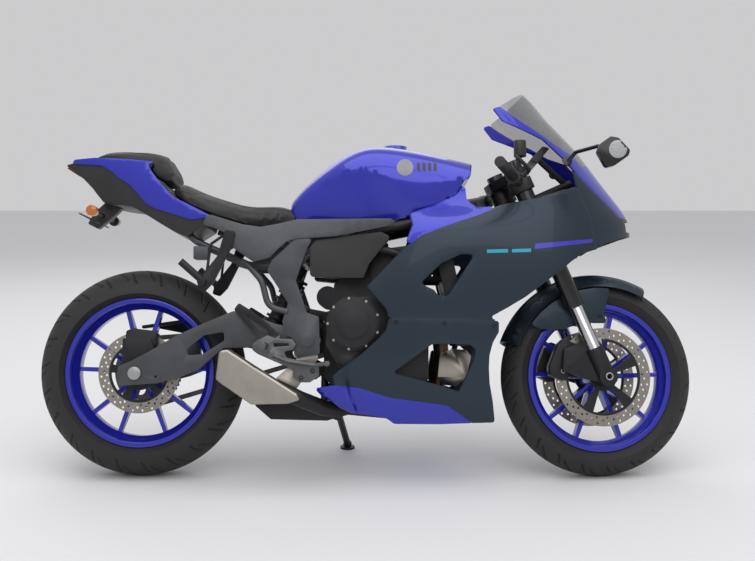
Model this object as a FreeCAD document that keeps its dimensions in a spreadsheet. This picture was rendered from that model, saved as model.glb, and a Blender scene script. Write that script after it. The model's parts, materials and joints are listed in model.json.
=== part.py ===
import FreeCAD, Part
import math
import os

from FreeCAD import Placement, Rotation, Vector

# A faired sport motorcycle, leaning on its side stand with its steering turned a little to the left.
# It is drawn upright: X points forward from the rear axle, Y to the left and Z up from the ground.
# Lengths are millimetres and angles degrees. Outlines are shares of the wheelbase along X and of the
# tank's height along Z, so they follow those two sizes.

SIZES = {
    # Chassis geometry
    "wheelbase": 1400,
    "tank_height": 1000,
    "steering_rake": 23.7,
    "steering_trail": 90,
    "steering_rest": 8.5,
    "lean_angle": 11,
    # Tyres, rims and hubs
    "rear_tyre_radius": 315,
    "rear_tyre_width": 180,
    "front_tyre_radius": 300,
    "front_tyre_width": 120,
    "tyre_wall": 12,
    "bead_radius": 218,
    "bead_gap": 0.3,
    "flange_radius": 226,
    "rim_well_radius": 200,
    "rim_wall": 6,
    "rear_rim_width": 140,
    "front_rim_width": 89,
    "spoke_thickness": 16,
    "spoke_width": 20,
    "rear_hub_radius": 44,
    "rear_hub_width": 120,
    "front_hub_radius": 34,
    "front_hub_width": 130,
    "axle_radius": 12,
    "axle_bore_radius": 8,
    "axle_running_gap": 0.05,
    # Brakes
    "rear_disc_radius": 122.5,
    "rear_disc_out": 76,
    "front_disc_radius": 149,
    "front_disc_out": 70,
    "disc_thickness": 4.5,
    "disc_track": 32,
    "disc_gap": 1.5,
    "disc_rib": 9,
    "disc_window_angle": 54,
    "disc_hole_radius": 3.5,
    "caliper_length": 118,
    "caliper_depth": 62,
    "caliper_half_width": 18,
    "rear_caliper_length": 92,
    "rear_caliper_depth": 50,
    # Chain drive
    "rear_sprocket_radius": 100,
    "front_sprocket_radius": 36,
    "chain_pitch_gap": 6,
    "chain_seat_gap": 0.3,
    "chain_height": 15,
    "chain_width": 17,
    "chain_plate": 3,
    "chain_out": 104.5,
    "sprocket_thickness": 7,
    "rear_tooth_height": 5,
    "front_tooth_height": 4.5,
    "chain_guard_wall": 3,
    # Swingarm and its pivot
    "arm_inner_out": 118,
    "arm_thickness": 22,
    "pivot_plate_thickness": 11,
    "pivot_plate_gap": 2,
    "pivot_tube_radius": 26,
    "spool_hole_radius": 4,
    "spool_hole_depth": 16,
    # Steering column and fork
    "head_tube_radius": 34,
    "head_tube_low": 825,
    "head_tube_high": 960,
    "yoke_thickness": 28,
    "yoke_gap": 5,
    "stem_bore_radius": 9,
    "fork_offset": 38,
    "fork_half_spacing": 104,
    "fork_outer_radius": 27,
    "fork_inner_radius": 20.5,
    "fork_outer_low": 540,
    "fork_top": 1022,
    "fork_foot_top": 405,
    "fork_foot_radius": 27,
    "grip_radius": 16,
    "bar_radius": 11,
    "bar_end_out": 345,
    # Mudguard
    "mudguard_gap": 18,
    "mudguard_wall": 3,
    "mudguard_half_width": 72,
    "mudguard_front_angle": 61,
    "mudguard_rear_angle": 160,
    # Bodywork
    "fairing_half_width": 225,
    "panel_wall": 4,
    "screen_wall": 3,
    "tail_half_width": 132,
    "tank_half_width": 148,
    "seat_half_width": 130,
    "panel_corner": 8,
    "edge_corner": 2,
    "tray_corner": 4,
    "cover_corner": 5,
    "holder_corner": 6,
    "muffler_corner": 14,
    # Frame tubes
    "frame_tube_radius": 16,
    "subframe_tube_radius": 12,
    "stay_radius": 9,
    "stay_reach": 200,
    "neck_spread": 12,
    "neck_drop": 20,
    "tank_rest_half": 40,
    "frame_half_width": 112,
    "subframe_bend": 90,
    "fluid_bottle_width": 34,
    # Engine and exhaust
    "gearbox_half_width": 70,
    "crank_half_width": 140,
    "cylinder_half_width": 96,
    "cover_depth": 44,
    "clutch_radius": 80,
    "header_radius": 20,
    "muffler_inner_out": 146,
    "muffler_width": 70,
    "collector_half_width": 88,
    "radiator_half_width": 160,
    "radiator_depth": 34,
    "radiator_tank_width": 14,
    "header_out": 60,
    "header_guard_wall": 5,
    # Stand and rests
    "stand_radius": 11,
    "stand_pivot_out": 112,
    "stand_foot_out": 295,
    "stand_axis_tilt": 38,
    "stand_boss_radius": 17,
    "stand_boss_length": 24,
    "stand_boss_gap": 0.3,
    "stand_foot_radius": 24,
    "stand_foot_thickness": 7,
    "peg_radius": 11,
    "peg_length": 82,
    "lever_radius": 6,
    "hanger_thickness": 9,
    "mirror_reach": 165,
    # Sizes that only cuts use
    "cut_overrun": 400,
}

document = FreeCAD.newDocument("sport_motorcycle")
sheet = document.addObject("Spreadsheet::Sheet", "Sizes")
for row, (alias, value) in enumerate(SIZES.items(), start=1):
    sheet.set(f"A{row}", alias)
    sheet.set(f"B{row}", str(value))
    sheet.setAlias(f"B{row}", alias)
document.recompute()


class Dimensions:
    """The sheet's cells, read by their aliases."""

    def __getattr__(self, alias):
        return float(sheet.get(alias))


size = Dimensions()
wheelbase = size.wheelbase
tank_height = size.tank_height
overrun = size.cut_overrun
ORIGIN = Vector(0, 0, 0)
ACROSS = Vector(0, 1, 0)


# General shapes

def at(along, up, out=0):
    """A point from a share of the wheelbase, a share of the tank's height and a distance to the left."""
    return Vector(along * wheelbase, out, up * tank_height)


def mirrored(shape):
    return shape.mirror(ORIGIN, ACROSS)


def both(shape):
    """A piece and its mirror image on the other side, as two solids."""
    return Part.makeCompound([shape, mirrored(shape)])


def corner_arcs(points, radius, closed):
    """Edges through the points, with each corner turned into a tangent arc."""
    side_limit_share = 0.45
    straight_share = 0.999
    count = len(points)
    stops = []
    for number, corner in enumerate(points):
        if not closed and number in (0, count - 1):
            stops.append((corner, corner, None))
            continue
        back = points[number - 1] - corner
        on = points[(number + 1) % count] - corner
        turn = back.getAngle(on)
        if turn > math.pi * straight_share or radius == 0:
            stops.append((corner, corner, None))
            continue
        reach = min(back.Length, on.Length) * side_limit_share
        cut = min(radius / math.tan(turn / 2), reach)
        back.normalize()
        on.normalize()
        middle = (back + on).normalize()
        arc_radius = cut * math.tan(turn / 2)
        crown = corner + middle * (arc_radius / math.sin(turn / 2) - arc_radius)
        stops.append((corner + back * cut, corner + on * cut, crown))
    edges = []
    for number, (begin, end, crown) in enumerate(stops):
        if crown is not None:
            edges.append(Part.Arc(begin, crown, end).toShape())
        if number + 1 < count or closed:
            following = stops[(number + 1) % count][0]
            edges.append(Part.LineSegment(end, following).toShape())
    return edges


def plate(outline, inner, outer, radius=None):
    """A flat piece with the side view of the outline, between two distances to the left."""
    corners = [at(along, up, inner) for along, up in outline]
    edges = corner_arcs(corners, size.panel_corner if radius is None else radius, True)
    face = Part.Face(Part.Wire(edges))
    return face.extrude(ACROSS * (outer - inner))


def prism(outline, radius=None):
    """The outline's side view as a block that reaches past every piece on both sides."""
    return plate(outline, -overrun, overrun, radius)


def tube(points, radius, bend):
    """A round bar along straight runs joined by tangent arcs."""
    path = Part.Wire(corner_arcs(points, bend, False))
    profile = Part.Wire(Part.makeCircle(radius, points[0], points[1] - points[0]))
    return path.makePipeShell([profile], True, True)


def rod(begin, end, radius):
    run = end - begin
    return Part.makeCylinder(radius, run.Length, begin, run)


def across(along, up, radius, inner, outer):
    """A round bar across the bike at a side-view place."""
    return rod(at(along, up, inner), at(along, up, outer), radius)


def profile_face(points, centre):
    """A closed profile of (radius, out) points, as a flat face beside the wheel's axle."""
    places = [centre + Vector(reach, out, 0) for reach, out in points]
    return Part.Face(Part.makePolygon(places + places[:1]))


def turned(profile, centre, angle=360):
    """A closed profile of (radius, out) points turned about the wheel's axle."""
    return profile_face(profile, centre).revolve(centre, ACROSS, angle)


def smooth_surface(rows):
    surface = Part.BSplineSurface()
    surface.interpolate(rows)
    return surface.toShape()


def creased_section(along, crown, crease, hollow, floor):
    """A body section with a smooth crown and smooth lower sides that meet at a crease on each side."""
    crease_out, crease_up = crease
    hollow_out, hollow_up = hollow
    floor_out, floor_up = floor
    shoulder_share = 0.62
    shoulder_rise_share = 0.86
    shoulder_up = crease_up + (crown - crease_up) * shoulder_rise_share
    upper = [
        at(along, crease_up, crease_out),
        at(along, shoulder_up, crease_out * shoulder_share),
        at(along, crown),
        at(along, shoulder_up, -crease_out * shoulder_share),
        at(along, crease_up, -crease_out),
    ]
    lower = [
        at(along, crease_up, -crease_out),
        at(along, hollow_up, -hollow_out),
        at(along, floor_up, -floor_out),
    ]
    top_curve = Part.BSplineCurve()
    top_curve.interpolate(upper)
    right_curve = Part.BSplineCurve()
    right_curve.interpolate(lower)
    left_curve = Part.BSplineCurve()
    left_curve.interpolate([Vector(p.x, -p.y, p.z) for p in reversed(lower)])
    base = Part.LineSegment(lower[-1], Vector(lower[-1].x, -lower[-1].y, lower[-1].z))
    return Part.Wire([top_curve.toShape(), right_curve.toShape(), base.toShape(), left_curve.toShape()])


# Bodywork: every fairing panel is cut from one smooth half shell

FAIRING_REAR_SHARES = (0.36, 0.46, 0.58, 0.70)
FAIRING_ROW_SHARES = [
    # up, the half widths at the rear places, the shoulder (along, half width), the nose
    (0.13, (0.26, 0.34, 0.42, 0.44), (0.80, 0.42), 0.980),
    (0.20, (0.50, 0.58, 0.66, 0.70), (0.82, 0.66), 1.000),
    (0.30, (0.70, 0.78, 0.84, 0.86), (0.84, 0.80), 1.030),
    (0.42, (0.78, 0.86, 0.92, 0.94), (0.86, 0.90), 1.060),
    (0.54, (0.82, 0.90, 0.97, 1.00), (0.87, 0.96), 1.075),
    (0.66, (0.76, 0.86, 0.96, 1.02), (0.87, 0.98), 1.076),
    (0.75, (0.66, 0.76, 0.86, 0.96), (0.87, 0.93), 1.078),
    (0.84, (0.60, 0.64, 0.65, 0.63), (0.86, 0.84), 1.050),
    (0.92, (0.58, 0.60, 0.59, 0.56), (0.85, 0.78), 1.006),
    (1.00, (0.56, 0.58, 0.60, 0.62), (0.82, 0.71), 0.964),
    (1.06, (0.56, 0.60, 0.64, 0.68), (0.79, 0.68), 0.925),
    (1.12, (0.54, 0.58, 0.62, 0.65), (0.765, 0.66), 0.885),
    (1.20, (0.46, 0.50, 0.55, 0.60), (0.74, 0.58), 0.830),
]
NOSE_STEP_SHARES = (0.35, 0.62, 0.82, 0.94, 1.0)
NOSE_TAPER_SHARES = (1.75, 0.72)


def fairing_rows():
    """Rows of points on the left half of the fairing's outside, each ending on the nose's centre line."""
    rows = []
    for up, widths, (shoulder, shoulder_width), nose in FAIRING_ROW_SHARES:
        row = [at(along, up, share * size.fairing_half_width)
               for along, share in zip(FAIRING_REAR_SHARES, widths)]
        row.append(at(shoulder, up, shoulder_width * size.fairing_half_width))
        for step in NOSE_STEP_SHARES:
            along = shoulder + (nose - shoulder) * step
            share = shoulder_width * max(0.0, 1 - step ** NOSE_TAPER_SHARES[0]) ** NOSE_TAPER_SHARES[1]
            row.append(at(along, up, share * size.fairing_half_width))
        rows.append(row)
    return rows


HALF_LENGTHS = 8
HALF_HEIGHTS = 6
LEFT_HALF = Part.makeBox(overrun * HALF_LENGTHS, overrun, overrun * HALF_HEIGHTS,
                         Vector(-overrun * 2, 0, -overrun))
FAIRING_FACE = smooth_surface(fairing_rows())


def skin(outline, wall, holes=()):
    """The left half's skin inside a side-view outline, with its wall measured inwards and back."""
    face = FAIRING_FACE.common(plate(outline, 0, overrun))
    if holes:
        face = face.cut([prism(hole) for hole in holes])
    pieces = face.extrude(Vector(-wall, -wall, 0)).common(LEFT_HALF).Solids
    return max(pieces, key=lambda piece: piece.Volume)


INNER_FACE = FAIRING_FACE.translated(Vector(-size.panel_wall, -size.panel_wall, 0))
FAIRING_CORE = INNER_FACE.extrude(Vector(-size.panel_wall, -overrun, 0))


def inside_fairing(piece):
    """The part of a piece on the left half that lies within the fairing's skin."""
    return piece.common(FAIRING_CORE)


# Wheels

REAR_AXLE = Vector(0, 0, size.rear_tyre_radius)
FRONT_AXLE = Vector(wheelbase, 0, size.front_tyre_radius)


def tyre(centre, radius, width, rim_width):
    """A road tyre: a round crown, two side walls and the air space inside."""
    half = width / 2
    bead_half = rim_width / 2 - size.rim_wall - size.bead_gap
    crown_centre = radius - half
    shoulder = math.radians(80)
    inner_half = half - size.tyre_wall
    bead = size.bead_radius + size.bead_gap
    lip = size.flange_radius + size.bead_gap

    def place(reach, out):
        return centre + Vector(reach, out, 0)

    def crown_point(arc_radius, turn):
        return place(crown_centre + arc_radius * math.cos(turn), arc_radius * math.sin(turn))

    outer = [crown_point(half, turn) for turn in (-shoulder, 0, shoulder)]
    inner = [crown_point(inner_half, turn) for turn in (shoulder, 0, -shoulder)]
    right = [place(bead, size.tyre_wall - bead_half), place(bead, -bead_half), place(lip, -bead_half), outer[0]]
    left = [outer[2], place(lip, bead_half), place(bead, bead_half), place(bead, bead_half - size.tyre_wall),
            inner[0]]
    edges = [Part.Arc(*outer).toShape(), Part.Arc(*inner).toShape()]
    for run in ([inner[2]] + right, left):
        edges += [Part.LineSegment(begin, end).toShape() for begin, end in zip(run, run[1:])]
    face = Part.Face(Part.Wire(Part.__sortEdges__(edges)))
    return face.revolve(centre, ACROSS, 360)


def rim(centre, width, hub_radius, hub_width, seats):
    """A cast wheel: barrel and flanges, five pairs of thin spokes, and a hub with a seat for each disc."""
    half = width / 2
    wall = size.rim_wall
    seat = size.bead_radius
    well = size.rim_well_radius
    flange = size.flange_radius
    well_half_share = 0.35
    profile = [
        (flange, -half), (flange, wall - half), (seat, wall - half), (seat, -half * 0.62),
        (well, -half * well_half_share), (well, half * well_half_share), (seat, half * 0.62),
        (seat, half - wall), (flange, half - wall), (flange, half),
        (seat - wall, half), (seat - wall, half * 0.58), (well - wall, half * 0.3),
        (well - wall, -half * 0.3), (seat - wall, -half * 0.58), (seat - wall, -half),
    ]
    barrel = turned(profile, centre)
    hub = Part.makeCylinder(hub_radius, hub_width, centre - ACROSS * (hub_width / 2), ACROSS)
    pieces = [hub]
    spoke_end = well - wall / 2
    pairs = 5
    pair_spread = 15
    foot_out_share = 0.5
    for pair in range(pairs):
        for side in (-1, 1):
            angle = math.radians(90 + pair * 360 / pairs + side * pair_spread)
            root_angle = math.radians(90 + pair * 360 / pairs + side * pair_spread / 2)
            root = centre + Vector(math.cos(root_angle), 0, math.sin(root_angle)) * (hub_radius * foot_out_share)
            tip = centre + Vector(math.cos(angle), 0, math.sin(angle)) * spoke_end
            run = tip - root
            depth = run.cross(ACROSS).normalize()
            half_width = size.spoke_width
            half_thickness = size.spoke_thickness / 2
            corners = [
                root + ACROSS * half_width * 1.4 + depth * half_thickness,
                root - ACROSS * half_width * 1.4 + depth * half_thickness,
                root - ACROSS * half_width * 1.4 - depth * half_thickness,
                root + ACROSS * half_width * 1.4 - depth * half_thickness,
            ]
            ends = [
                tip + ACROSS * half_width * 0.6 + depth * half_thickness * 0.8,
                tip - ACROSS * half_width * 0.6 + depth * half_thickness * 0.8,
                tip - ACROSS * half_width * 0.6 - depth * half_thickness * 0.8,
                tip + ACROSS * half_width * 0.6 - depth * half_thickness * 0.8,
            ]
            foot = Part.makePolygon(corners + corners[:1])
            head = Part.makePolygon(ends + ends[:1])
            pieces.append(Part.makeLoft([foot, head], True, True))
    for out in seats:
        side = math.copysign(1, out)
        face = out - side * size.disc_thickness / 2
        pieces.append(rod(centre + ACROSS * (side * hub_width / 2), centre + ACROSS * face, hub_radius * 0.9))
    wheel = barrel.fuse(pieces)
    hole = rod(centre - ACROSS * overrun, centre + ACROSS * overrun, size.axle_radius + size.axle_running_gap)
    return wheel.cut(hole)


def brake_disc(centre, radius, out, hub_radius):
    """A brake disc's drilled track on its spidered carrier, which sits on the hub's end."""
    track = size.disc_track
    thick = size.disc_thickness
    outer_face = centre + ACROSS * (out - thick / 2)
    ring = Part.makeCylinder(radius, thick, outer_face, ACROSS)
    ring = ring.cut(Part.makeCylinder(radius - track, thick, outer_face, ACROSS))
    carrier_outer = radius - track + size.disc_gap
    carrier = Part.makeCylinder(carrier_outer, thick, outer_face, ACROSS)
    carrier = carrier.cut(Part.makeCylinder(hub_radius * 0.75, thick, outer_face, ACROSS))
    windows = []
    arms = 5
    window_outer = carrier_outer - size.disc_rib
    window_inner = hub_radius + size.disc_rib
    window = Part.makeCylinder(window_outer, thick, outer_face, ACROSS, size.disc_window_angle)
    window = window.cut(Part.makeCylinder(window_inner, thick, outer_face, ACROSS))
    for arm in range(arms):
        windows.append(window.rotated(outer_face, ACROSS, arm * 360 / arms))
    disc = ring.fuse(carrier.cut(windows))
    holes = []
    per_row = 24
    for row_share in (0.25, 0.55, 0.8):
        for step in range(per_row):
            angle = math.radians((step + row_share * 1.6) * 360 / per_row)
            reach = radius - track * row_share
            place = outer_face + Vector(math.cos(angle), 0, math.sin(angle)) * reach
            holes.append(Part.makeCylinder(size.disc_hole_radius, thick, place, ACROSS))
    return disc.cut(holes)


# Steering: places are given by a distance up the inclined steering axis and a distance ahead of it

RAKE = math.radians(size.steering_rake)
STEER_FOOT = Vector(wheelbase + size.steering_trail, 0, 0)
STEER_UP = Vector(-math.sin(RAKE), 0, math.cos(RAKE))
STEER_AHEAD = Vector(math.cos(RAKE), 0, math.sin(RAKE))


def steer_point(up, ahead, out=0):
    return STEER_FOOT + STEER_UP * up + STEER_AHEAD * ahead + ACROSS * out


AXLE_UP = (FRONT_AXLE - STEER_FOOT).dot(STEER_UP)
AXLE_AHEAD = (FRONT_AXLE - STEER_FOOT).dot(STEER_AHEAD)
LEG_OUT = size.fork_half_spacing


def steer_plate(corners, low, high):
    """A flat piece square to the steering axis, from (ahead, out) corners."""
    points = [steer_point(low, ahead, out) for ahead, out in corners]
    edges = corner_arcs(points, size.panel_corner, True)
    return Part.Face(Part.Wire(edges)).extrude(STEER_UP * (high - low))


def yoke(low):
    """One triple clamp: a bridge between the fork legs with a clamp ring round each."""
    high = low + size.yoke_thickness
    ring = size.fork_outer_radius * 1.35
    bridge = steer_plate([
        (-ring * 0.9, -ring * 0.9), (size.fork_offset * 0.5, -LEG_OUT), (AXLE_AHEAD + ring * 0.7, -LEG_OUT),
        (AXLE_AHEAD + ring * 0.2, 0), (AXLE_AHEAD + ring * 0.7, LEG_OUT), (size.fork_offset * 0.5, LEG_OUT),
        (-ring * 0.9, ring * 0.9),
    ], low, high)
    rings = [rod(steer_point(low, AXLE_AHEAD, side * LEG_OUT),
                 steer_point(high, AXLE_AHEAD, side * LEG_OUT), ring) for side in (-1, 1)]
    return bridge.fuse(rings)


def make_triple_clamps():
    """Two yokes and the hollow steering stem between them."""
    low_yoke_top = size.head_tube_low - size.yoke_gap
    low_yoke = low_yoke_top - size.yoke_thickness
    high_yoke = size.head_tube_high + size.yoke_gap
    stem = rod(steer_point(low_yoke, 0), steer_point(high_yoke + size.yoke_thickness, 0), STEM_RADIUS)
    clamps = yoke(low_yoke).fuse([yoke(high_yoke), stem])
    reach = size.fork_top
    legs = [rod(steer_point(0, AXLE_AHEAD, side * LEG_OUT), steer_point(reach, AXLE_AHEAD, side * LEG_OUT),
                size.fork_outer_radius) for side in (-1, 1)]
    bore = rod(steer_point(low_yoke - size.yoke_gap, 0), steer_point(reach, 0), size.stem_bore_radius)
    return clamps.cut(legs + [bore])


STEM_RADIUS = size.head_tube_radius * 0.5


def make_fork_tubes():
    """The upside-down fork's wide upper tubes."""
    legs = []
    for side in (-1, 1):
        leg = rod(steer_point(size.fork_outer_low, AXLE_AHEAD, side * LEG_OUT),
                  steer_point(size.fork_top, AXLE_AHEAD, side * LEG_OUT), size.fork_outer_radius)
        legs.append(leg)
    return Part.makeCompound(legs)


def make_fork_feet():
    """The narrow polished lower tubes and the cast feet that clamp the front axle and carry the calipers."""
    feet = []
    for side in (-1, 1):
        out = side * LEG_OUT
        slider = rod(steer_point(size.fork_foot_top, AXLE_AHEAD, out),
                     steer_point(size.fork_outer_low, AXLE_AHEAD, out), size.fork_inner_radius)
        foot = rod(steer_point(AXLE_UP, AXLE_AHEAD, out), steer_point(size.fork_foot_top, AXLE_AHEAD, out),
                   size.fork_foot_radius)
        clamp_radius = size.fork_foot_radius * 1.05
        clamp_half = size.fork_foot_radius * 0.75
        clamp = rod(FRONT_AXLE + ACROSS * (out - clamp_half), FRONT_AXLE + ACROSS * (out + clamp_half),
                    clamp_radius)
        inner = CALIPER_OUTER
        lug = Part.Face(Part.Wire(corner_arcs([
            FRONT_AXLE + Vector(forward, side * inner, up) for forward, up in CALIPER_LUG
        ], size.panel_corner, True))).extrude(ACROSS * side * (LEG_OUT - inner))
        feet.append(slider.fuse([foot, clamp, lug]))
    hole = rod(FRONT_AXLE - ACROSS * overrun, FRONT_AXLE + ACROSS * overrun, size.axle_radius)
    return Part.makeCompound(feet).cut(hole)


CALIPER_REACH = size.front_disc_radius - size.disc_track / 2
CALIPER_OUTER = size.front_disc_out + size.caliper_half_width
CALIPER_ANGLE = 158
CALIPER_LUG = [
    (-CALIPER_REACH * 1.02, CALIPER_REACH * 0.12), (-CALIPER_REACH * 0.98, CALIPER_REACH * 0.62),
    (-CALIPER_REACH * 0.4, CALIPER_REACH * 0.85), (-size.fork_foot_radius * 0.2, CALIPER_REACH * 0.9),
    (0, 0), (-size.fork_foot_radius, -size.fork_foot_radius * 0.6),
]


def caliper(centre, reach, angle, disc_out, length, depth, inner, outer, radius):
    """A brake caliper: a block that straddles the disc's edge, with a slot for the disc."""
    turn = math.radians(angle)
    radial = Vector(math.cos(turn), 0, math.sin(turn))
    along = Vector(-math.sin(turn), 0, math.cos(turn))
    middle = centre + radial * reach
    corners = []
    block_shares = ((-0.5, -0.5), (-0.5, 0.32), (-0.3, 0.5), (0.3, 0.5), (0.5, 0.32), (0.5, -0.5))
    for side_along, side_radial in block_shares:
        corners.append(middle + along * (side_along * length) + radial * (side_radial * depth))
    corners = [Vector(p.x, inner, p.z) for p in corners]
    block = Part.Face(Part.Wire(corner_arcs(corners, size.panel_corner, True))).extrude(ACROSS * (outer - inner))
    slot_half = size.disc_thickness / 2 + size.disc_gap
    slot_begin = centre + ACROSS * (disc_out - slot_half)
    slot = Part.makeCylinder(radius + size.disc_gap, slot_half * 2, slot_begin, ACROSS)
    return block.cut(slot)


def make_front_calipers():
    pieces = []
    inner = size.front_disc_out - size.caliper_half_width
    reach = CALIPER_REACH + size.caliper_depth / 10
    for side in (-1, 1):
        pieces.append(caliper(FRONT_AXLE, reach, CALIPER_ANGLE, side * size.front_disc_out, size.caliper_length,
                              size.caliper_depth, side * inner, side * CALIPER_OUTER, size.front_disc_radius))
    return Part.makeCompound(pieces)


def make_clip_ons():
    """Clip-on bars with grips, levers with their perches, and the front brake's fluid cup."""
    pieces = []
    clamp_low = size.head_tube_high - size.yoke_thickness * 1.3
    clamp_high = size.head_tube_high
    for side in (-1, 1):
        leg = steer_point(clamp_low, AXLE_AHEAD, side * LEG_OUT)
        clamp = rod(leg, steer_point(clamp_high, AXLE_AHEAD, side * LEG_OUT), size.fork_outer_radius * 1.35)
        begin = steer_point(clamp_high - size.bar_radius * 1.6, AXLE_AHEAD, side * LEG_OUT)
        end = BAR_END + ACROSS * (side * size.bar_end_out)
        run = end - begin
        inner = begin + run * 0.42
        bar = rod(begin, end, size.bar_radius)
        grip = rod(inner, end, size.grip_radius)
        perch = rod(begin + run * 0.27, begin + run * 0.40, size.grip_radius * 1.35)
        lever_root = begin + run * 0.33
        lever = tube([
            lever_root, lever_root + LEVER_REACH, lever_root + LEVER_REACH + run * 0.25,
            lever_root + LEVER_REACH * 0.9 + run * 0.62,
        ], size.lever_radius, size.grip_radius)
        hole = rod(leg, steer_point(size.fork_top, AXLE_AHEAD, side * LEG_OUT), size.fork_outer_radius)
        pieces.append(clamp.fuse([bar, grip, perch, lever]).cut(hole))
    cup_arm_foot = steer_point(clamp_high - size.bar_radius * 1.6, AXLE_AHEAD, -LEG_OUT)
    run = BAR_END - ACROSS * size.bar_end_out - cup_arm_foot
    cup_arm_foot = cup_arm_foot + run * 0.33
    cup_foot = cup_arm_foot + CUP_RISE
    arm = rod(cup_arm_foot, cup_foot, size.lever_radius)
    cup = rod(cup_foot, cup_foot + Vector(0, 0, CUP_HEIGHT), CUP_RADIUS)
    pieces[0] = pieces[0].fuse([arm, cup])
    return Part.makeCompound(pieces)


BAR_END = at(0.728, 0.895)
LEVER_REACH = STEER_AHEAD * size.grip_radius * 3.4
CUP_RADIUS = size.grip_radius * 1.15
CUP_HEIGHT = size.grip_radius * 2.9
CUP_RISE = Vector(size.grip_radius * 0.6, -size.grip_radius * 1.9, size.grip_radius * 3.7)


def make_front_mudguard():
    """The front mudguard: an arched shell round the tyre with an ear to each fork leg."""
    wall = size.mudguard_wall
    half = size.mudguard_half_width
    crown = size.front_tyre_radius + size.mudguard_gap
    skirt = crown - half * MUDGUARD_DROP_SHARE
    centre_radius = half * 1.12
    steps = 6
    half_turn = 62
    outer = []
    for step in range(steps + 1):
        turn = math.radians(half_turn * (2 * step / steps - 1))
        outer.append((crown + wall - centre_radius + centre_radius * math.cos(turn),
                      centre_radius * math.sin(turn)))
    inner_radius = centre_radius - wall
    inner = []
    for step in range(steps + 1):
        turn = math.radians(half_turn * (1 - 2 * step / steps))
        inner.append((crown + wall - centre_radius + inner_radius * math.cos(turn),
                      inner_radius * math.sin(turn)))
    reach_points = [Vector(reach, out, 0) for reach, out in outer + inner]
    span = size.mudguard_rear_angle - size.mudguard_front_angle
    face = Part.Face(Part.makePolygon([FRONT_AXLE + p for p in reach_points + reach_points[:1]]))
    face.rotate(FRONT_AXLE, ACROSS, -size.mudguard_front_angle)
    shell = face.revolve(FRONT_AXLE, ACROSS, -span)
    ears = []
    rim_steps = 6
    first, last = MUDGUARD_SKIRT_ANGLES
    rim_angles = [math.radians(first + (last - first) * step / rim_steps) for step in range(rim_steps + 1)]
    corners = [(math.cos(angle), math.sin(angle)) for angle in rim_angles] + MUDGUARD_SKIRT_SHARES
    for side in (-1, 1):
        ear_out = side * (half - wall)
        points = [FRONT_AXLE + Vector(forward * skirt, ear_out, up * skirt) for forward, up in corners]
        ear = Part.Face(Part.Wire(corner_arcs(points, size.panel_corner, True)))
        ears.append(ear.extrude(ACROSS * side * wall))
        boss_at = FRONT_AXLE + STEER_UP * (skirt * MUDGUARD_BOSS_SHARE) + ACROSS * ear_out
        boss_end = boss_at + ACROSS * side * (LEG_OUT - half)
        ears.append(rod(boss_at, boss_end, size.bar_radius))
    guard = shell.fuse(ears)
    legs = [rod(steer_point(AXLE_UP, AXLE_AHEAD, side * LEG_OUT), steer_point(size.fork_top, AXLE_AHEAD,
            side * LEG_OUT), size.fork_inner_radius) for side in (-1, 1)]
    wide_legs = [rod(steer_point(size.fork_outer_low, AXLE_AHEAD, side * LEG_OUT), steer_point(size.fork_top,
                 AXLE_AHEAD, side * LEG_OUT), size.fork_outer_radius) for side in (-1, 1)]
    feet = [rod(steer_point(AXLE_UP, AXLE_AHEAD, side * LEG_OUT), steer_point(size.fork_foot_top, AXLE_AHEAD,
            side * LEG_OUT), size.fork_foot_radius) for side in (-1, 1)]
    return guard.cut(legs + wide_legs + feet)


MUDGUARD_DROP_SHARE = 0.62
MUDGUARD_BOSS_SHARE = 0.72
MUDGUARD_SKIRT_ANGLES = (84, 145)
MUDGUARD_SKIRT_SHARES = [(-0.70, 0.53), (-0.44, 0.53), (-0.20, 0.61), (-0.10, 0.60), (0.06, 0.60), (0.03, 0.70)]


# How the bike stands: the steering turned, everything leaned, both tyres and the stand on the ground

STEER_TURN = Rotation(STEER_UP, size.steering_rest)


def lowest_point(centre, axle, radius, width, attitude):
    """The height of a tyre's lowest point below which its round crown doesn't reach."""
    half = width / 2
    tilt = attitude.multVec(axle).z
    return attitude.multVec(centre).z - half - (radius - half) * math.sqrt(1 - tilt ** 2)


def steered(place):
    return STEER_FOOT + STEER_TURN.multVec(place - STEER_FOOT)


def attitude(pitch):
    return Rotation(ACROSS, pitch) * Rotation(Vector(1, 0, 0), -size.lean_angle)


def heights(pitch):
    """The lowest points of the rear and the front tyre at a pitch of the whole bike."""
    turn = attitude(pitch)
    rear = lowest_point(REAR_AXLE, ACROSS, size.rear_tyre_radius, size.rear_tyre_width, turn)
    front = lowest_point(steered(FRONT_AXLE), STEER_TURN.multVec(ACROSS), size.front_tyre_radius,
                         size.front_tyre_width, turn)
    return rear, front


def level_pitch():
    """The pitch at which both tyres touch the ground, found by the secant rule."""
    before, now = 0.0, 1.0
    rounds = 8
    same = 1e-9
    for _ in range(rounds):
        rear, front = heights(before)
        miss_before = front - rear
        rear, front = heights(now)
        miss = front - rear
        if abs(miss - miss_before) < same:
            break
        before, now = now, now - miss * (now - before) / (miss - miss_before)
    return now


PITCH = level_pitch()
LEAN = attitude(PITCH)
STANDING = Placement(Vector(0, 0, -heights(PITCH)[0]), LEAN)
GROUND_UP = LEAN.inverted().multVec(Vector(0, 0, 1))


def on_ground(place):
    """The point of the ground straight below a place of the upright bike, along its own vertical."""
    height = STANDING.multVec(place).z
    return place - GROUND_UP * height


# Side stand

STAND_TILT = math.radians(size.stand_axis_tilt)
STAND_AXIS = Vector(0, math.cos(STAND_TILT), math.sin(STAND_TILT))
STAND_PIVOT = at(0.424, 0.190, size.stand_pivot_out)
STAND_FOOT = on_ground(at(0.445, 0.055, size.stand_foot_out))
STAND_PIN_RADIUS = size.stand_boss_radius * 0.45


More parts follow.
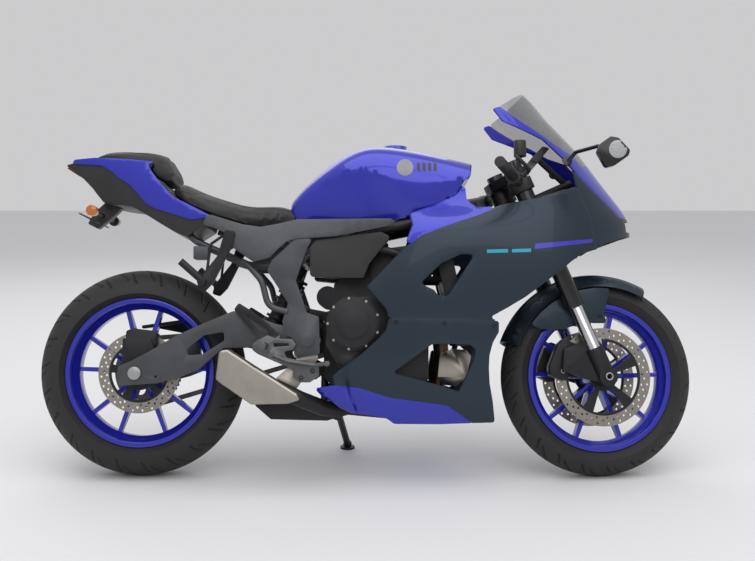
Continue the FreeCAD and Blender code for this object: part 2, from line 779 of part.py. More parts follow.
def stand_bracket():
    """The lug under the crankcase's left side, with the pivot pin that the stand swings on."""
    lug = plate([(0.480, 0.300), (0.505, 0.275), (0.452, 0.180), (0.420, 0.168), (0.408, 0.190), (0.450, 0.300)],
                size.stand_pivot_out - size.stand_boss_length, size.stand_pivot_out - size.stand_boss_radius)
    boss = rod(STAND_PIVOT - STAND_AXIS * size.stand_boss_length, STAND_PIVOT, size.stand_boss_radius)
    pin_end = STAND_PIVOT + STAND_AXIS * (size.stand_boss_length + size.lever_radius / 2)
    pin = rod(STAND_PIVOT, pin_end, STAND_PIN_RADIUS)
    head = rod(pin_end, pin_end + STAND_AXIS * size.lever_radius, STAND_PIN_RADIUS * 1.5)
    return lug.fuse([boss, pin, head])


def make_side_stand():
    """The side stand: an eye on the pivot pin, a straight leg and a flat foot on the ground."""
    eye_begin = STAND_PIVOT + STAND_AXIS * size.stand_boss_gap
    eye_end = eye_begin + STAND_AXIS * size.stand_boss_length
    eye = rod(eye_begin, eye_end, size.stand_boss_radius)
    leg_top = (eye_begin + eye_end) * 0.5
    foot_top = STAND_FOOT + GROUND_UP * size.stand_foot_thickness
    ankle_radius = size.stand_radius * 1.3
    ankle = STAND_FOOT + GROUND_UP * (ankle_radius + size.stand_boss_gap)
    leg = rod(leg_top, ankle, size.stand_radius)
    foot = rod(STAND_FOOT, foot_top, size.stand_foot_radius)
    hole = rod(STAND_PIVOT - STAND_AXIS * size.stand_boss_length, eye_end + STAND_AXIS * size.stand_boss_length,
               STAND_PIN_RADIUS + size.axle_running_gap)
    return leg.fuse([eye, foot, Part.makeSphere(ankle_radius, ankle)]).cut(hole)


# Frame, subframe and swingarm

PLATE_OUTLINE_SHARES = [
    (0.379, 0.717), (0.366, 0.689), (0.350, 0.625), (0.342, 0.593), (0.366, 0.496), (0.392, 0.483),
    (0.394, 0.372), (0.341, 0.362), (0.334, 0.424), (0.321, 0.428), (0.314, 0.469), (0.326, 0.524),
    (0.294, 0.593), (0.281, 0.620), (0.291, 0.652), (0.320, 0.689), (0.340, 0.717),
]
PIVOT = at(0.367, 0.415)
PLATE_INNER = size.arm_inner_out + size.arm_thickness + size.pivot_plate_gap
PLATE_OUTER = PLATE_INNER + size.pivot_plate_thickness
FRAME_OUT = size.frame_half_width


def make_pivot_plates():
    """The cast plates either side of the gearbox, which hold the swingarm's pivot."""
    side_plate = plate(PLATE_OUTLINE_SHARES, PLATE_INNER, PLATE_OUTER)
    nut_end = PLATE_OUTER + size.hanger_thickness
    nut = rod(Vector(PIVOT.x, PLATE_OUTER, PIVOT.z), Vector(PIVOT.x, nut_end, PIVOT.z),
              size.pivot_tube_radius * 0.8)
    return both(side_plate.fuse(nut))


STAY_TIP = steer_point((size.head_tube_low + size.head_tube_high) / 2, size.stay_reach)


def make_main_frame():
    """The steel frame: head tube, twin main tubes, cross tubes, tank rest and the fairing stays."""
    head = rod(steer_point(size.head_tube_low, 0), steer_point(size.head_tube_high, 0), size.head_tube_radius)
    radius = size.frame_tube_radius
    inside = PLATE_INNER - radius
    neck = steer_point((size.head_tube_low + size.head_tube_high) / 2, -size.neck_drop)
    low_neck = steer_point(size.head_tube_low + size.head_tube_radius * 0.9, -size.neck_drop)
    spread = ACROSS * size.neck_spread
    pieces = []
    for side in (-1, 1):
        main = tube([neck + spread * side, at(0.67, 0.790, side * FRAME_OUT * 0.92),
                     at(0.48, 0.735, side * inside), at(0.353, 0.655, side * inside)], radius, radius * 6)
        low = tube([low_neck + spread * side, at(0.69, 0.720, side * FRAME_OUT),
                    at(0.58, 0.665, side * inside), at(0.44, 0.72, side * inside)], radius * 0.8, radius * 5)
        pieces += [main, low]
    pieces.append(across(0.353, 0.655, radius, -PLATE_INNER, PLATE_INNER))
    pieces.append(across(0.60, 0.768, radius * 0.8, -FRAME_OUT, FRAME_OUT))
    rest_half = size.tank_rest_half
    rest = plate([(0.40, 0.768), (0.40, 0.776), (0.58, 0.776), (0.58, 0.768)], -rest_half, rest_half, 0)
    pieces.append(rest)
    pieces.append(across(0.46, 0.745, radius * 0.8, -inside, inside))
    pieces.append(rod(at(0.46, 0.745, 0), at(0.46, 0.772, 0), radius))
    stay_begin = steer_point((size.head_tube_low + size.head_tube_high) / 2, 0)
    pieces.append(rod(stay_begin, STAY_TIP + STEER_AHEAD * size.stay_radius * 1.6, size.stay_radius * 1.6))
    for place in (at(0.665, 0.704), at(0.668, 0.795)):
        peg = inside_fairing(rod(place + ACROSS * FRAME_OUT * 0.9, place + ACROSS * overrun, size.stay_radius))
        pieces += [peg, mirrored(peg)]
    frame = head.fuse(pieces)
    bore = rod(steer_point(size.head_tube_low - size.yoke_gap, 0),
               steer_point(size.head_tube_high + size.yoke_gap, 0), STEM_RADIUS + size.axle_running_gap)
    return frame.cut(bore)


MAIN_FRAME = make_main_frame()


SUBFRAME_FRONT_OUT = size.frame_half_width * 0.86
SUBFRAME_MIDDLE_OUT = size.frame_half_width * 0.70
SUBFRAME_TAIL_OUT = size.frame_half_width * 0.30
SUBFRAME_STRUT_OUT = size.frame_half_width * 0.93


def make_subframe():
    """The welded tubes that carry the seats and the tail."""
    radius = size.subframe_tube_radius
    pieces = []
    for side in (-1, 1):
        rail = tube([at(0.345, 0.690, side * (PLATE_INNER - radius)), at(0.20, 0.765, side * SUBFRAME_FRONT_OUT),
                     at(0.05, 0.850, side * SUBFRAME_MIDDLE_OUT), at(-0.115, 0.915, side * SUBFRAME_TAIL_OUT)],
                    radius, size.subframe_bend)
        strut = tube([at(0.345, 0.640, side * (PLATE_INNER - radius)), at(0.24, 0.640, side * SUBFRAME_STRUT_OUT),
                      at(0.12, 0.715, side * SUBFRAME_STRUT_OUT * 0.9),
                      at(0.03, 0.855, side * SUBFRAME_MIDDLE_OUT * 0.95)],
                     radius * 0.85, size.subframe_bend * 0.7)
        brace_out = side * (PLATE_INNER + PLATE_OUTER) / 2
        brace = tube([at(0.195, 0.662, side * SUBFRAME_STRUT_OUT), at(0.235, 0.645, brace_out * 0.85),
                      at(0.270, 0.590, brace_out), at(0.284, 0.512, brace_out), at(0.325, 0.498, brace_out)],
                     radius * 0.8, size.frame_half_width / 2)
        pieces += [rail, strut, brace]
        pieces.append(across(0.34, 0.690, radius, side * (PLATE_INNER - radius), side * PLATE_INNER))
    for along, up, out in ((0.195, 0.764, SUBFRAME_FRONT_OUT), (0.05, 0.850, SUBFRAME_MIDDLE_OUT),
                           (-0.112, 0.914, SUBFRAME_TAIL_OUT)):
        pieces.append(across(along, up, radius * 0.8, -out, out))
    bottle_inner = -SUBFRAME_STRUT_OUT
    bottle = plate([(0.122, 0.696), (0.154, 0.693), (0.152, 0.655), (0.122, 0.655)], bottle_inner,
                   bottle_inner - size.fluid_bottle_width, size.lever_radius)
    neck = across(0.138, 0.690, size.lever_radius * 1.6, -SUBFRAME_STRUT_OUT * 0.9, bottle_inner)
    pieces += [bottle, neck]
    return pieces[0].fuse(pieces[1:]).cut([MAIN_FRAME, make_pivot_plates()])


ARM_OUTLINE_SHARES = [
    (-0.036, 0.277), (-0.036, 0.335), (-0.007, 0.352), (0.033, 0.382), (0.086, 0.426), (0.149, 0.466),
    (0.208, 0.500), (0.225, 0.500), (0.30, 0.462), (0.367, 0.442), (0.385, 0.425), (0.385, 0.400),
    (0.367, 0.388), (0.28, 0.378), (0.238, 0.392), (0.189, 0.390), (0.178, 0.378), (0.137, 0.328),
    (0.087, 0.300), (0.047, 0.285),
]
ARM_SLOT_SHARES = [(0.111, 0.368), (0.111, 0.388), (0.147, 0.428), (0.190, 0.439), (0.190, 0.412), (0.145, 0.372)]


def make_swingarm():
    """The swingarm: two cast legs, a brace between them ahead of the tyre, the pivot tube and axle ends."""
    inner = size.arm_inner_out
    outer = inner + size.arm_thickness
    leg = plate(ARM_OUTLINE_SHARES, inner, outer).cut(plate(ARM_SLOT_SHARES, inner, outer))
    brace = plate([(0.262, 0.432), (0.262, 0.395), (0.30, 0.385), (0.30, 0.432)], -inner, inner)
    pivot = rod(Vector(PIVOT.x, -PLATE_INNER, PIVOT.z), Vector(PIVOT.x, PLATE_INNER, PIVOT.z),
                size.pivot_tube_radius)
    arm = leg.fuse([mirrored(leg), brace, pivot])
    axle_hole = rod(REAR_AXLE - ACROSS * overrun, REAR_AXLE + ACROSS * overrun, size.axle_radius)
    spool = at(0.045, 0.305)
    spool_holes = []
    for side in (-1, 1):
        mouth = Vector(spool.x, side * outer, spool.z)
        spool_holes.append(rod(mouth, mouth - ACROSS * side * size.spool_hole_depth, size.spool_hole_radius))
    return arm.cut([axle_hole] + spool_holes)


def make_rear_caliper():
    """The single-piston rear caliper on its bracket, which hangs on the axle inside the right leg."""
    out = -size.rear_disc_out
    leg_face = -size.arm_inner_out
    bracket_face = leg_face + size.hanger_thickness
    reach = size.rear_disc_radius - size.disc_track / 2
    body = caliper(REAR_AXLE, reach, REAR_CALIPER_ANGLE, out, size.rear_caliper_length, size.rear_caliper_depth,
                   out + size.caliper_half_width, bracket_face, size.rear_disc_radius)
    bracket = plate([(-0.03, 0.30), (-0.03, 0.42), (0.03, 0.42), (0.05, 0.33), (0.03, 0.29)], bracket_face,
                    leg_face)
    hole = rod(REAR_AXLE - ACROSS * overrun, REAR_AXLE + ACROSS * overrun, size.axle_radius)
    return body.fuse(bracket).cut(hole)


REAR_CALIPER_ANGLE = 84


# Chain drive on the left

CHAIN_OUT = size.chain_out
REAR_PITCH = size.rear_sprocket_radius + size.chain_pitch_gap
FRONT_PITCH = size.front_sprocket_radius + size.chain_pitch_gap
FRONT_SPROCKET = at(0.425, 0.425)


def chain_loop(inset, inner, outer):
    """The loop's outline round both sprockets, a distance inside or outside the pitch line."""
    rear = Vector(REAR_AXLE.x, inner, REAR_AXLE.z)
    front = Vector(FRONT_SPROCKET.x, inner, FRONT_SPROCKET.z)
    rear_radius = REAR_PITCH + inset
    front_radius = FRONT_PITCH + inset
    run = front - rear
    slope = math.atan2(run.z, run.x)
    lean = math.asin((rear_radius - front_radius) / run.Length)
    points = []
    for sign in (1, -1):
        normal_angle = slope + sign * (math.pi / 2 - lean)
        normal = Vector(math.cos(normal_angle), 0, math.sin(normal_angle))
        points.append((rear + normal * rear_radius, front + normal * front_radius))
    back = rear - run.normalize() * rear_radius
    tip = front + run * front_radius
    wire = Part.Wire([
        Part.LineSegment(points[0][0], points[0][1]).toShape(),
        Part.Arc(points[0][1], tip, points[1][1]).toShape(),
        Part.LineSegment(points[1][1], points[1][0]).toShape(),
        Part.Arc(points[1][0], back, points[0][0]).toShape(),
    ])
    return Part.Face(wire).extrude(ACROSS * (outer - inner))


def make_chain():
    """The drive chain as one loop: two rows of side plates with the rollers' band between them."""
    half = size.chain_width / 2
    plate_wall = size.chain_plate
    tall = size.chain_height / 2
    roller = size.chain_pitch_gap - size.chain_seat_gap
    pieces = []
    rows = ((CHAIN_OUT - half, CHAIN_OUT - half + plate_wall), (CHAIN_OUT + half - plate_wall, CHAIN_OUT + half))
    for begin, end in rows:
        pieces.append(chain_loop(tall, begin, end).cut(chain_loop(-tall, begin, end)))
    begin = CHAIN_OUT - half + plate_wall
    end = CHAIN_OUT + half - plate_wall
    pieces.append(chain_loop(roller, begin, end).cut(chain_loop(-roller, begin, end)))
    return pieces[0].fuse(pieces[1:])


def sprocket(centre, radius, out, thickness, teeth, tooth_height):
    """A toothed sprocket plate."""
    tip_share = 0.28
    points = []
    for tooth in range(teeth):
        middle = 2 * math.pi * tooth / teeth
        step = 2 * math.pi / teeth
        for share, reach in ((-0.5, radius - tooth_height), (-tip_share / 2, radius), (tip_share / 2, radius)):
            angle = middle + share * step
            points.append(centre + Vector(reach * math.cos(angle), out - thickness / 2, reach * math.sin(angle)))
    face = Part.Face(Part.makePolygon(points + points[:1]))
    return face.extrude(ACROSS * thickness)


def make_rear_sprocket():
    plate_body = sprocket(REAR_AXLE, size.rear_sprocket_radius, CHAIN_OUT, size.sprocket_thickness, 42,
                          size.rear_tooth_height)
    windows = []
    arms = 6
    for arm in range(arms):
        angle = 2 * math.pi * arm / arms
        reach = size.rear_sprocket_radius * 0.66
        place = REAR_AXLE + Vector(reach * math.cos(angle), CHAIN_OUT - overrun / 2, reach * math.sin(angle))
        windows.append(Part.makeCylinder(size.rear_sprocket_radius * 0.17, overrun, place, ACROSS))
    carrier = rod(REAR_AXLE + ACROSS * (size.rear_hub_width / 2), REAR_AXLE + ACROSS * CHAIN_OUT,
                  size.rear_hub_radius)
    hole = rod(REAR_AXLE - ACROSS * overrun, REAR_AXLE + ACROSS * overrun,
               size.axle_radius + size.axle_running_gap)
    return plate_body.cut(windows).fuse(carrier).cut(hole)


def make_chain_guard():
    """The guard over the chain's upper run."""
    low = CHAIN_OUT - size.chain_width * 0.9
    high = size.arm_inner_out
    over = plate([(-0.02, 0.452), (-0.02, 0.462), (0.17, 0.500), (0.20, 0.500), (0.20, 0.490), (0.17, 0.488)],
                 low, high + size.arm_thickness * 0.6, size.edge_corner)
    side = plate([(-0.02, 0.462), (0.17, 0.500), (0.20, 0.500), (0.20, 0.486), (0.15, 0.455), (0.09, 0.432)],
                 high + size.arm_thickness * 0.5, high + size.arm_thickness * 0.6 + size.chain_guard_wall,
                 size.edge_corner)
    return over.fuse(side).cut(make_swingarm())


# Engine, cooling and exhaust

def make_engine_block():
    """The engine as plain blocks at their real places: gearbox, crankcase, two cylinders and the head."""
    gearbox = plate([(0.400, 0.500), (0.400, 0.300), (0.430, 0.262), (0.520, 0.262), (0.520, 0.540)],
                    -size.gearbox_half_width, size.gearbox_half_width)
    crankcase = plate([(0.466, 0.500), (0.466, 0.300), (0.490, 0.262), (0.600, 0.262), (0.625, 0.300),
                       (0.625, 0.470), (0.560, 0.520)], -size.crank_half_width, size.crank_half_width)
    cylinders = plate([(0.505, 0.500), (0.500, 0.640), (0.520, 0.690), (0.600, 0.705), (0.625, 0.660),
                       (0.605, 0.470)], -size.cylinder_half_width, size.cylinder_half_width)
    intake = plate([(0.415, 0.500), (0.422, 0.585), (0.440, 0.610), (0.446, 0.690), (0.505, 0.700),
                    (0.505, 0.500)], -INTAKE_HALF, INTAKE_HALF)
    starter = across(0.408, 0.545, size.clutch_radius * 0.42, -INTAKE_HALF, INTAKE_HALF)
    sump = plate([(0.470, 0.270), (0.480, 0.215), (0.560, 0.215), (0.590, 0.270)], -CRANK_SUMP, CRANK_SUMP)
    rear_lug = across(0.356, 0.505, size.frame_tube_radius, -PLATE_INNER, PLATE_INNER)
    rear_web = plate([(0.352, 0.515), (0.352, 0.495), (0.41, 0.470), (0.41, 0.500)], -CRANK_SUMP, CRANK_SUMP)
    shaft = rod(Vector(FRONT_SPROCKET.x, size.gearbox_half_width, FRONT_SPROCKET.z),
                Vector(FRONT_SPROCKET.x, CHAIN_OUT - size.sprocket_thickness, FRONT_SPROCKET.z), size.axle_radius)
    lugs = []
    for side in (-1, 1):
        lugs.append(across(0.58, 0.668, size.stay_radius, side * size.cylinder_half_width,
                           side * (PLATE_INNER - size.frame_tube_radius)))
        panel_peg = across(0.50, 0.305, size.stay_radius, 0, overrun)
        panel_peg = inside_fairing(panel_peg)
        lugs.append(panel_peg if side > 0 else mirrored(panel_peg))
    lugs.append(rod(at(0.556, 0.235), at(0.556, 0.172), size.stay_radius))
    whole = [crankcase, cylinders, intake, starter, sump, rear_lug, rear_web, shaft, stand_bracket()] + lugs
    return gearbox.fuse(whole).cut([MAIN_FRAME])


CRANK_SUMP = size.gearbox_half_width * 0.9
INTAKE_HALF = size.cylinder_half_width * 0.88


def round_cover(along, up, radius, inner, depth):
    """A domed round engine cover: a stepped drum with a raised middle."""
    step = depth / 2
    side = 1 if inner > 0 else -1
    base = rod(at(along, up, inner), at(along, up, inner + side * step), radius)
    middle = rod(at(along, up, inner + side * step), at(along, up, inner + side * depth * 0.8), radius * 0.9)
    crown = rod(at(along, up, inner + side * depth * 0.8), at(along, up, inner + side * depth), radius * 0.55)
    return base.fuse([middle, crown])


def make_engine_covers():
    """The clutch, generator and water pump covers on the engine's sides."""
    case = size.crank_half_width
    clutch = round_cover(0.465, 0.463, size.clutch_radius, -case, size.cover_depth)
    rear_pad = plate([(0.412, 0.500), (0.406, 0.400), (0.43, 0.345), (0.50, 0.345), (0.55, 0.40), (0.55, 0.50),
                      (0.50, 0.54), (0.44, 0.54)], -size.gearbox_half_width, -case)
    rear_pad = rear_pad.fuse(plate([(0.466, 0.54), (0.412, 0.50), (0.406, 0.40), (0.43, 0.345), (0.50, 0.345),
                                    (0.56, 0.40), (0.56, 0.50), (0.52, 0.55)],
                                   -case, -case - size.cover_depth / 4))
    pump = round_cover(0.452, 0.351, size.clutch_radius * 0.42, -size.gearbox_half_width, case * 0.62)
    generator = round_cover(0.53, 0.42, size.clutch_radius * 0.95, case, size.cover_depth * 0.8)
    block = make_engine_block()
    right = rear_pad.fuse([clutch, pump]).cut(block)
    return Part.makeCompound([right, generator])


def make_front_sprocket():
    plate_body = sprocket(FRONT_SPROCKET, size.front_sprocket_radius, CHAIN_OUT, size.sprocket_thickness, 16,
                          size.front_tooth_height)
    hub = rod(Vector(FRONT_SPROCKET.x, CHAIN_OUT - size.sprocket_thickness, FRONT_SPROCKET.z),
              Vector(FRONT_SPROCKET.x, CHAIN_OUT + size.sprocket_thickness, FRONT_SPROCKET.z),
              size.front_sprocket_radius * 0.5)
    return plate_body.fuse(hub)


def make_radiator():
    """The radiator core with its side tanks, on brackets to the engine, and the coolant bottle below it."""
    half = size.radiator_half_width
    depth = size.radiator_depth / wheelbase
    core = plate([(0.645, 0.655), (0.688, 0.405), (0.688 + depth, 0.405), (0.645 + depth, 0.655)], -half, half,
                 size.panel_wall)
    tanks = []
    for side in (-1, 1):
        tanks.append(plate([(0.640, 0.662), (0.684, 0.398), (0.694 + depth, 0.398), (0.650 + depth, 0.662)],
                           side * half, side * (half + size.radiator_tank_width), size.lever_radius))
    bottle_inner = half * 0.62
    bottle = plate([(0.628, 0.296), (0.640, 0.384), (0.700, 0.384), (0.706, 0.300), (0.690, 0.282),
                    (0.640, 0.282)], bottle_inner, half)
    neck = rod(at(0.69, 0.375, half * 0.8), at(0.698, 0.415, half * 0.8), size.stay_radius)
    tanks += [bottle, neck]
    lugs = []
    for up, along in ((0.60, 0.66), (0.45, 0.683)):
        lug_out = size.cylinder_half_width - size.lever_radius / 2
        lugs += [rod(at(0.60, up, side * lug_out), at(along, up, side * lug_out), size.stay_radius)
                 for side in (-1, 1)]
    return core.fuse(tanks + lugs).cut(make_engine_block())


def make_exhaust_headers():
    """Two header pipes from the head's front, down past the crankcase and back into the collector."""
    radius = size.header_radius
    out = size.header_out
    pipes = []
    for side in (-1, 1):
        pipes.append(tube([at(along, up, side * out * share) for along, up, share in HEADER_ROUTE_SHARES],
                          radius, radius * 3))
    guard_face = -(out + radius * 1.7)
    guard = plate(HEADER_GUARD_SHARES, guard_face, guard_face - size.header_guard_wall)
    posts = [across(0.659, up, size.lever_radius, -out, guard_face) for up in (0.300, 0.345)]
    pipes[0] = pipes[0].fuse([guard] + posts)
    return Part.makeCompound([pipe.cut(make_engine_block()) for pipe in pipes])


HEADER_ROUTE_SHARES = [
    # along, up, and the share of the headers' distance from the middle
    (0.600, 0.560, 0.87), (0.638, 0.535, 0.93), (0.652, 0.450, 1.00), (0.660, 0.340, 1.03), (0.640, 0.235, 0.90),
    (0.590, 0.200, 0.73), (0.535, 0.195, 0.67),
]
HEADER_GUARD_SHARES = [
    (0.651, 0.374), (0.677, 0.389), (0.707, 0.386), (0.718, 0.368), (0.707, 0.301), (0.685, 0.277),
    (0.659, 0.280), (0.646, 0.301),
]


def link_pipe():
    """The pipe from the collector's right side, out and up into the muffler's front."""
    half = size.collector_half_width
    return tube([at(0.432, 0.203, -half * 0.8), at(0.400, 0.212, -half * 1.35), at(0.352, 0.242, -MUFFLER_MIDDLE),
                 at(0.300, 0.278, -MUFFLER_MIDDLE)], size.header_radius * 1.2, size.header_radius * 2)


def make_collector_box():
    """The catalyst box under the engine, with the link pipe that leads out to the muffler."""
    half = size.collector_half_width
    box = plate([(0.247, 0.224), (0.287, 0.176), (0.408, 0.172), (0.451, 0.190), (0.545, 0.178), (0.545, 0.212),
                 (0.451, 0.222), (0.30, 0.245)], -half, half)
    link = link_pipe()
    hangers = [rod(at(0.40, 0.20, side * half * 0.8), at(0.40, 0.31, side * half * 0.55), size.stay_radius)
               for side in (-1, 1)]
    whole = box.fuse([link] + hangers)
    return whole.cut([make_engine_block()] + make_exhaust_headers().Solids)


MUFFLER_MIDDLE = size.muffler_inner_out + size.muffler_width / 2


def make_muffler():
    """The short muffler on the right, with a blunt rear cap and a hollow outlet."""
    inner = -size.muffler_inner_out
    outer = inner - size.muffler_width
    can = plate([(0.186, 0.383), (0.204, 0.387), (0.254, 0.342), (0.350, 0.258), (0.357, 0.240), (0.330, 0.228),
                 (0.254, 0.226), (0.193, 0.284), (0.179, 0.300)], inner, outer, size.muffler_corner)
    edges = [edge for edge in can.Edges if edge.BoundBox.YLength < size.edge_corner]
    can = can.makeFillet(size.muffler_width * 0.12, edges)
    outlet = rod(at(0.160, 0.345, -MUFFLER_MIDDLE), at(0.225, 0.318, -MUFFLER_MIDDLE), size.header_radius * 0.9)
    strap = plate([(0.30, 0.30), (0.30, 0.27), (0.345, 0.27), (0.39, 0.36), (0.388, 0.376), (0.352, 0.376),
                   (0.340, 0.35)], -PLATE_INNER, STRAP_INNER)
    strap = strap.fuse(across(0.322, 0.285, size.grip_radius, STRAP_INNER, -size.muffler_inner_out))
    return Part.makeCompound([can.cut([outlet, link_pipe()]), strap.cut(link_pipe())])


STRAP_INNER = -(size.arm_inner_out + size.arm_thickness + size.bead_gap)


# Fairing panels, cut to their side views

WING_LOWER_SHARES = [
    (0.764, 1.112), (0.786, 1.072), (0.823, 1.051), (0.874, 1.020), (0.923, 0.957), (0.957, 0.901),
    (0.984, 0.867), (1.011, 0.834), (1.045, 0.790),
]
WING_UPPER_SHARES = [
    (1.10, 0.790), (1.10, 0.90), (0.985, 0.965), (0.970, 0.939), (0.946, 0.978), (0.909, 1.002),
    (0.875, 1.033), (0.835, 1.065), (0.798, 1.098), (0.779, 1.118),
]
SCREEN_OUTLINE_SHARES = [
    (0.779, 1.118), (0.798, 1.098), (0.835, 1.065), (0.875, 1.033), (0.909, 1.002), (0.946, 0.978),
    (0.970, 0.939), (0.985, 0.965), (1.05, 0.93), (1.0, 1.10), (0.87, 1.195), (0.841, 1.183),
]
NOSE_OUTLINE_SHARES = [
    (0.944, 0.876), (0.938, 0.938), (0.957, 0.901), (0.984, 0.867), (1.011, 0.834), (1.045, 0.790),
    (1.10, 0.790), (1.10, 0.745), (1.060, 0.731), (1.004, 0.704), (0.984, 0.686), (0.972, 0.78),
]
UPPER_OUTLINE_SHARES = [
    (0.495, 0.570), (0.530, 0.620), (0.573, 0.683), (0.608, 0.721), (0.684, 0.762), (0.731, 0.784),
    (0.776, 0.812), (0.824, 0.826), (0.853, 0.832), (0.909, 0.857), (0.944, 0.876), (0.972, 0.78),
    (0.984, 0.686), (0.946, 0.669), (0.922, 0.645), (0.904, 0.624), (0.867, 0.585), (0.825, 0.541),
    (0.787, 0.509), (0.749, 0.480), (0.769, 0.470), (0.700, 0.475), (0.542, 0.478), (0.537, 0.504),
    (0.520, 0.530),
]
UPPER_HOLE_SHARES = [
    (0.605, 0.579), (0.650, 0.639), (0.691, 0.665), (0.720, 0.663), (0.668, 0.551), (0.659, 0.541),
    (0.641, 0.546), (0.634, 0.560),
]
LOWER_OUTLINE_SHARES = [
    (0.542, 0.478), (0.700, 0.475), (0.769, 0.470), (0.769, 0.438), (0.757, 0.408), (0.750, 0.371),
    (0.749, 0.333), (0.751, 0.289), (0.759, 0.233), (0.765, 0.171), (0.719, 0.169), (0.708, 0.178),
    (0.663, 0.222), (0.607, 0.233), (0.544, 0.244), (0.515, 0.256), (0.480, 0.272), (0.427, 0.282),
    (0.424, 0.311), (0.453, 0.342), (0.485, 0.374), (0.523, 0.423), (0.537, 0.445),
]
LOWER_HOLE_SHARES = [
    (0.551, 0.322), (0.629, 0.401), (0.648, 0.404), (0.710, 0.402), (0.722, 0.386), (0.721, 0.367),
    (0.709, 0.326), (0.688, 0.263), (0.640, 0.285), (0.587, 0.304), (0.555, 0.315),
]
BELLY_OUTLINE_SHARES = [
    (0.385, 0.272), (0.427, 0.282), (0.480, 0.272), (0.515, 0.256), (0.544, 0.244), (0.607, 0.233),
    (0.663, 0.222), (0.708, 0.178), (0.719, 0.169), (0.648, 0.165), (0.555, 0.165), (0.536, 0.184),
    (0.465, 0.198), (0.442, 0.212), (0.417, 0.239), (0.401, 0.250),
]
COWL_OUTLINE_SHARES = [
    (0.586, 0.790), (0.640, 0.821), (0.680, 0.849), (0.693, 0.884), (0.705, 0.872), (0.707, 0.834),
    (0.728, 0.808), (0.776, 0.812), (0.731, 0.784), (0.684, 0.762), (0.608, 0.721), (0.573, 0.683),
    (0.592, 0.754),
]


def fairing_panel(outline, holes=()):
    """One left panel of the fairing, cut to its side view, with its openings."""
    return skin(outline, size.panel_wall, holes)


def make_upper_fairing():
    return fairing_panel(UPPER_OUTLINE_SHARES, [UPPER_HOLE_SHARES])


def make_lower_fairing():
    return fairing_panel(LOWER_OUTLINE_SHARES, [LOWER_HOLE_SHARES])


def make_belly_pan():
    """The belly pan: both lower side walls joined by a floor under the sump."""
    wall = fairing_panel(BELLY_OUTLINE_SHARES)
    low_share = 0.168
    high_share = low_share + size.panel_wall / tank_height
    floor = plate([(0.548, low_share), (0.548, high_share), (0.700, high_share), (0.700, low_share)],
                  0, overrun, 0)
    floor = inside_fairing(floor).fuse(wall)
    return floor.fuse(mirrored(floor))


def make_nose_cowl():
    """The nose: both halves joined on the centre line, with a duct mouth in the middle."""
    half = fairing_panel(NOSE_OUTLINE_SHARES)
    nose = half.fuse(mirrored(half))
    mouth = Part.makeBox(overrun, MOUTH_HALF * 2, tank_height * MOUTH_HEIGHT_SHARE,
                         at(1.02, LAMP_UP_SHARE - MOUTH_HEIGHT_SHARE / 2, -MOUTH_HALF))
    return nose.cut([mouth, make_screen_surround()])


MOUTH_HALF = size.fairing_half_width * 0.20
MOUTH_HEIGHT_SHARE = 0.034
LAMP_UP_SHARE = 0.766


def make_screen_surround():
    """The blue blade round the screen's foot, from the nose's tip back to two points."""
    half = fairing_panel(WING_LOWER_SHARES + WING_UPPER_SHARES)
    return half.fuse(mirrored(half))


def make_windscreen():
    half = skin(SCREEN_OUTLINE_SHARES, size.screen_wall)
    return half.fuse(mirrored(half))


def make_tank_side_cowls():
    """The blue cowls that fill between the tank's front and the fairing's upper edge."""
    return both(fairing_panel(COWL_OUTLINE_SHARES)).cut(make_fuel_tank())


# Tank and seats

TANK_SECTION_SHARES = [
    # along, crown, crease (out, up), hollow (out, up), floor (out, up)
    (0.325, 0.836, (0.26, 0.815), (0.28, 0.80), (0.24, 0.77)),
    (0.350, 0.880, (0.42, 0.850), (0.44, 0.82), (0.40, 0.77)),
    (0.400, 0.942, (0.62, 0.895), (0.60, 0.84), (0.52, 0.77)),
    (0.441, 0.982, (0.78, 0.925), (0.70, 0.86), (0.60, 0.77)),
    (0.492, 1.010, (0.92, 0.930), (0.80, 0.86), (0.68, 0.77)),
    (0.540, 1.013, (0.99, 0.908), (0.88, 0.85), (0.74, 0.77)),
    (0.590, 1.004, (1.00, 0.892), (0.94, 0.84), (0.80, 0.77)),
    (0.640, 0.988, (0.99, 0.896), (0.94, 0.85), (0.80, 0.77)),
    (0.690, 0.970, (0.94, 0.905), (0.90, 0.86), (0.76, 0.77)),
    (0.730, 0.955, (0.86, 0.912), (0.82, 0.87), (0.70, 0.77)),
]
TANK_SIDE_SHARES = [
    (0.321, 0.805), (0.321, 0.90), (0.40, 1.10), (0.718, 1.10), (0.722, 0.955), (0.716, 0.908),
    (0.701, 0.892), (0.683, 0.853), (0.672, 0.841), (0.587, 0.786), (0.539, 0.776), (0.340, 0.776),
]


def scaled_sections(table, half_width, maker):
    """Loft through the sections of a table of shares."""
    wires = []
    for row in table:
        along, crown = row[:2]
        pairs = [(out * half_width, up) for out, up in row[2:]]
        wires.append(maker(along, crown, *pairs))
    return Part.makeLoft(wires, True, False)


def make_fuel_tank():
    """The fuel tank: a crowned back, a crease along each side and knee hollows below it."""
    body = scaled_sections(TANK_SECTION_SHARES, size.tank_half_width, creased_section)
    tank = body.common(prism(TANK_SIDE_SHARES))
    cap = rod(at(0.555, 1.0), at(0.555, 1.020), size.fork_outer_radius * 1.35)
    return tank.fuse(cap)


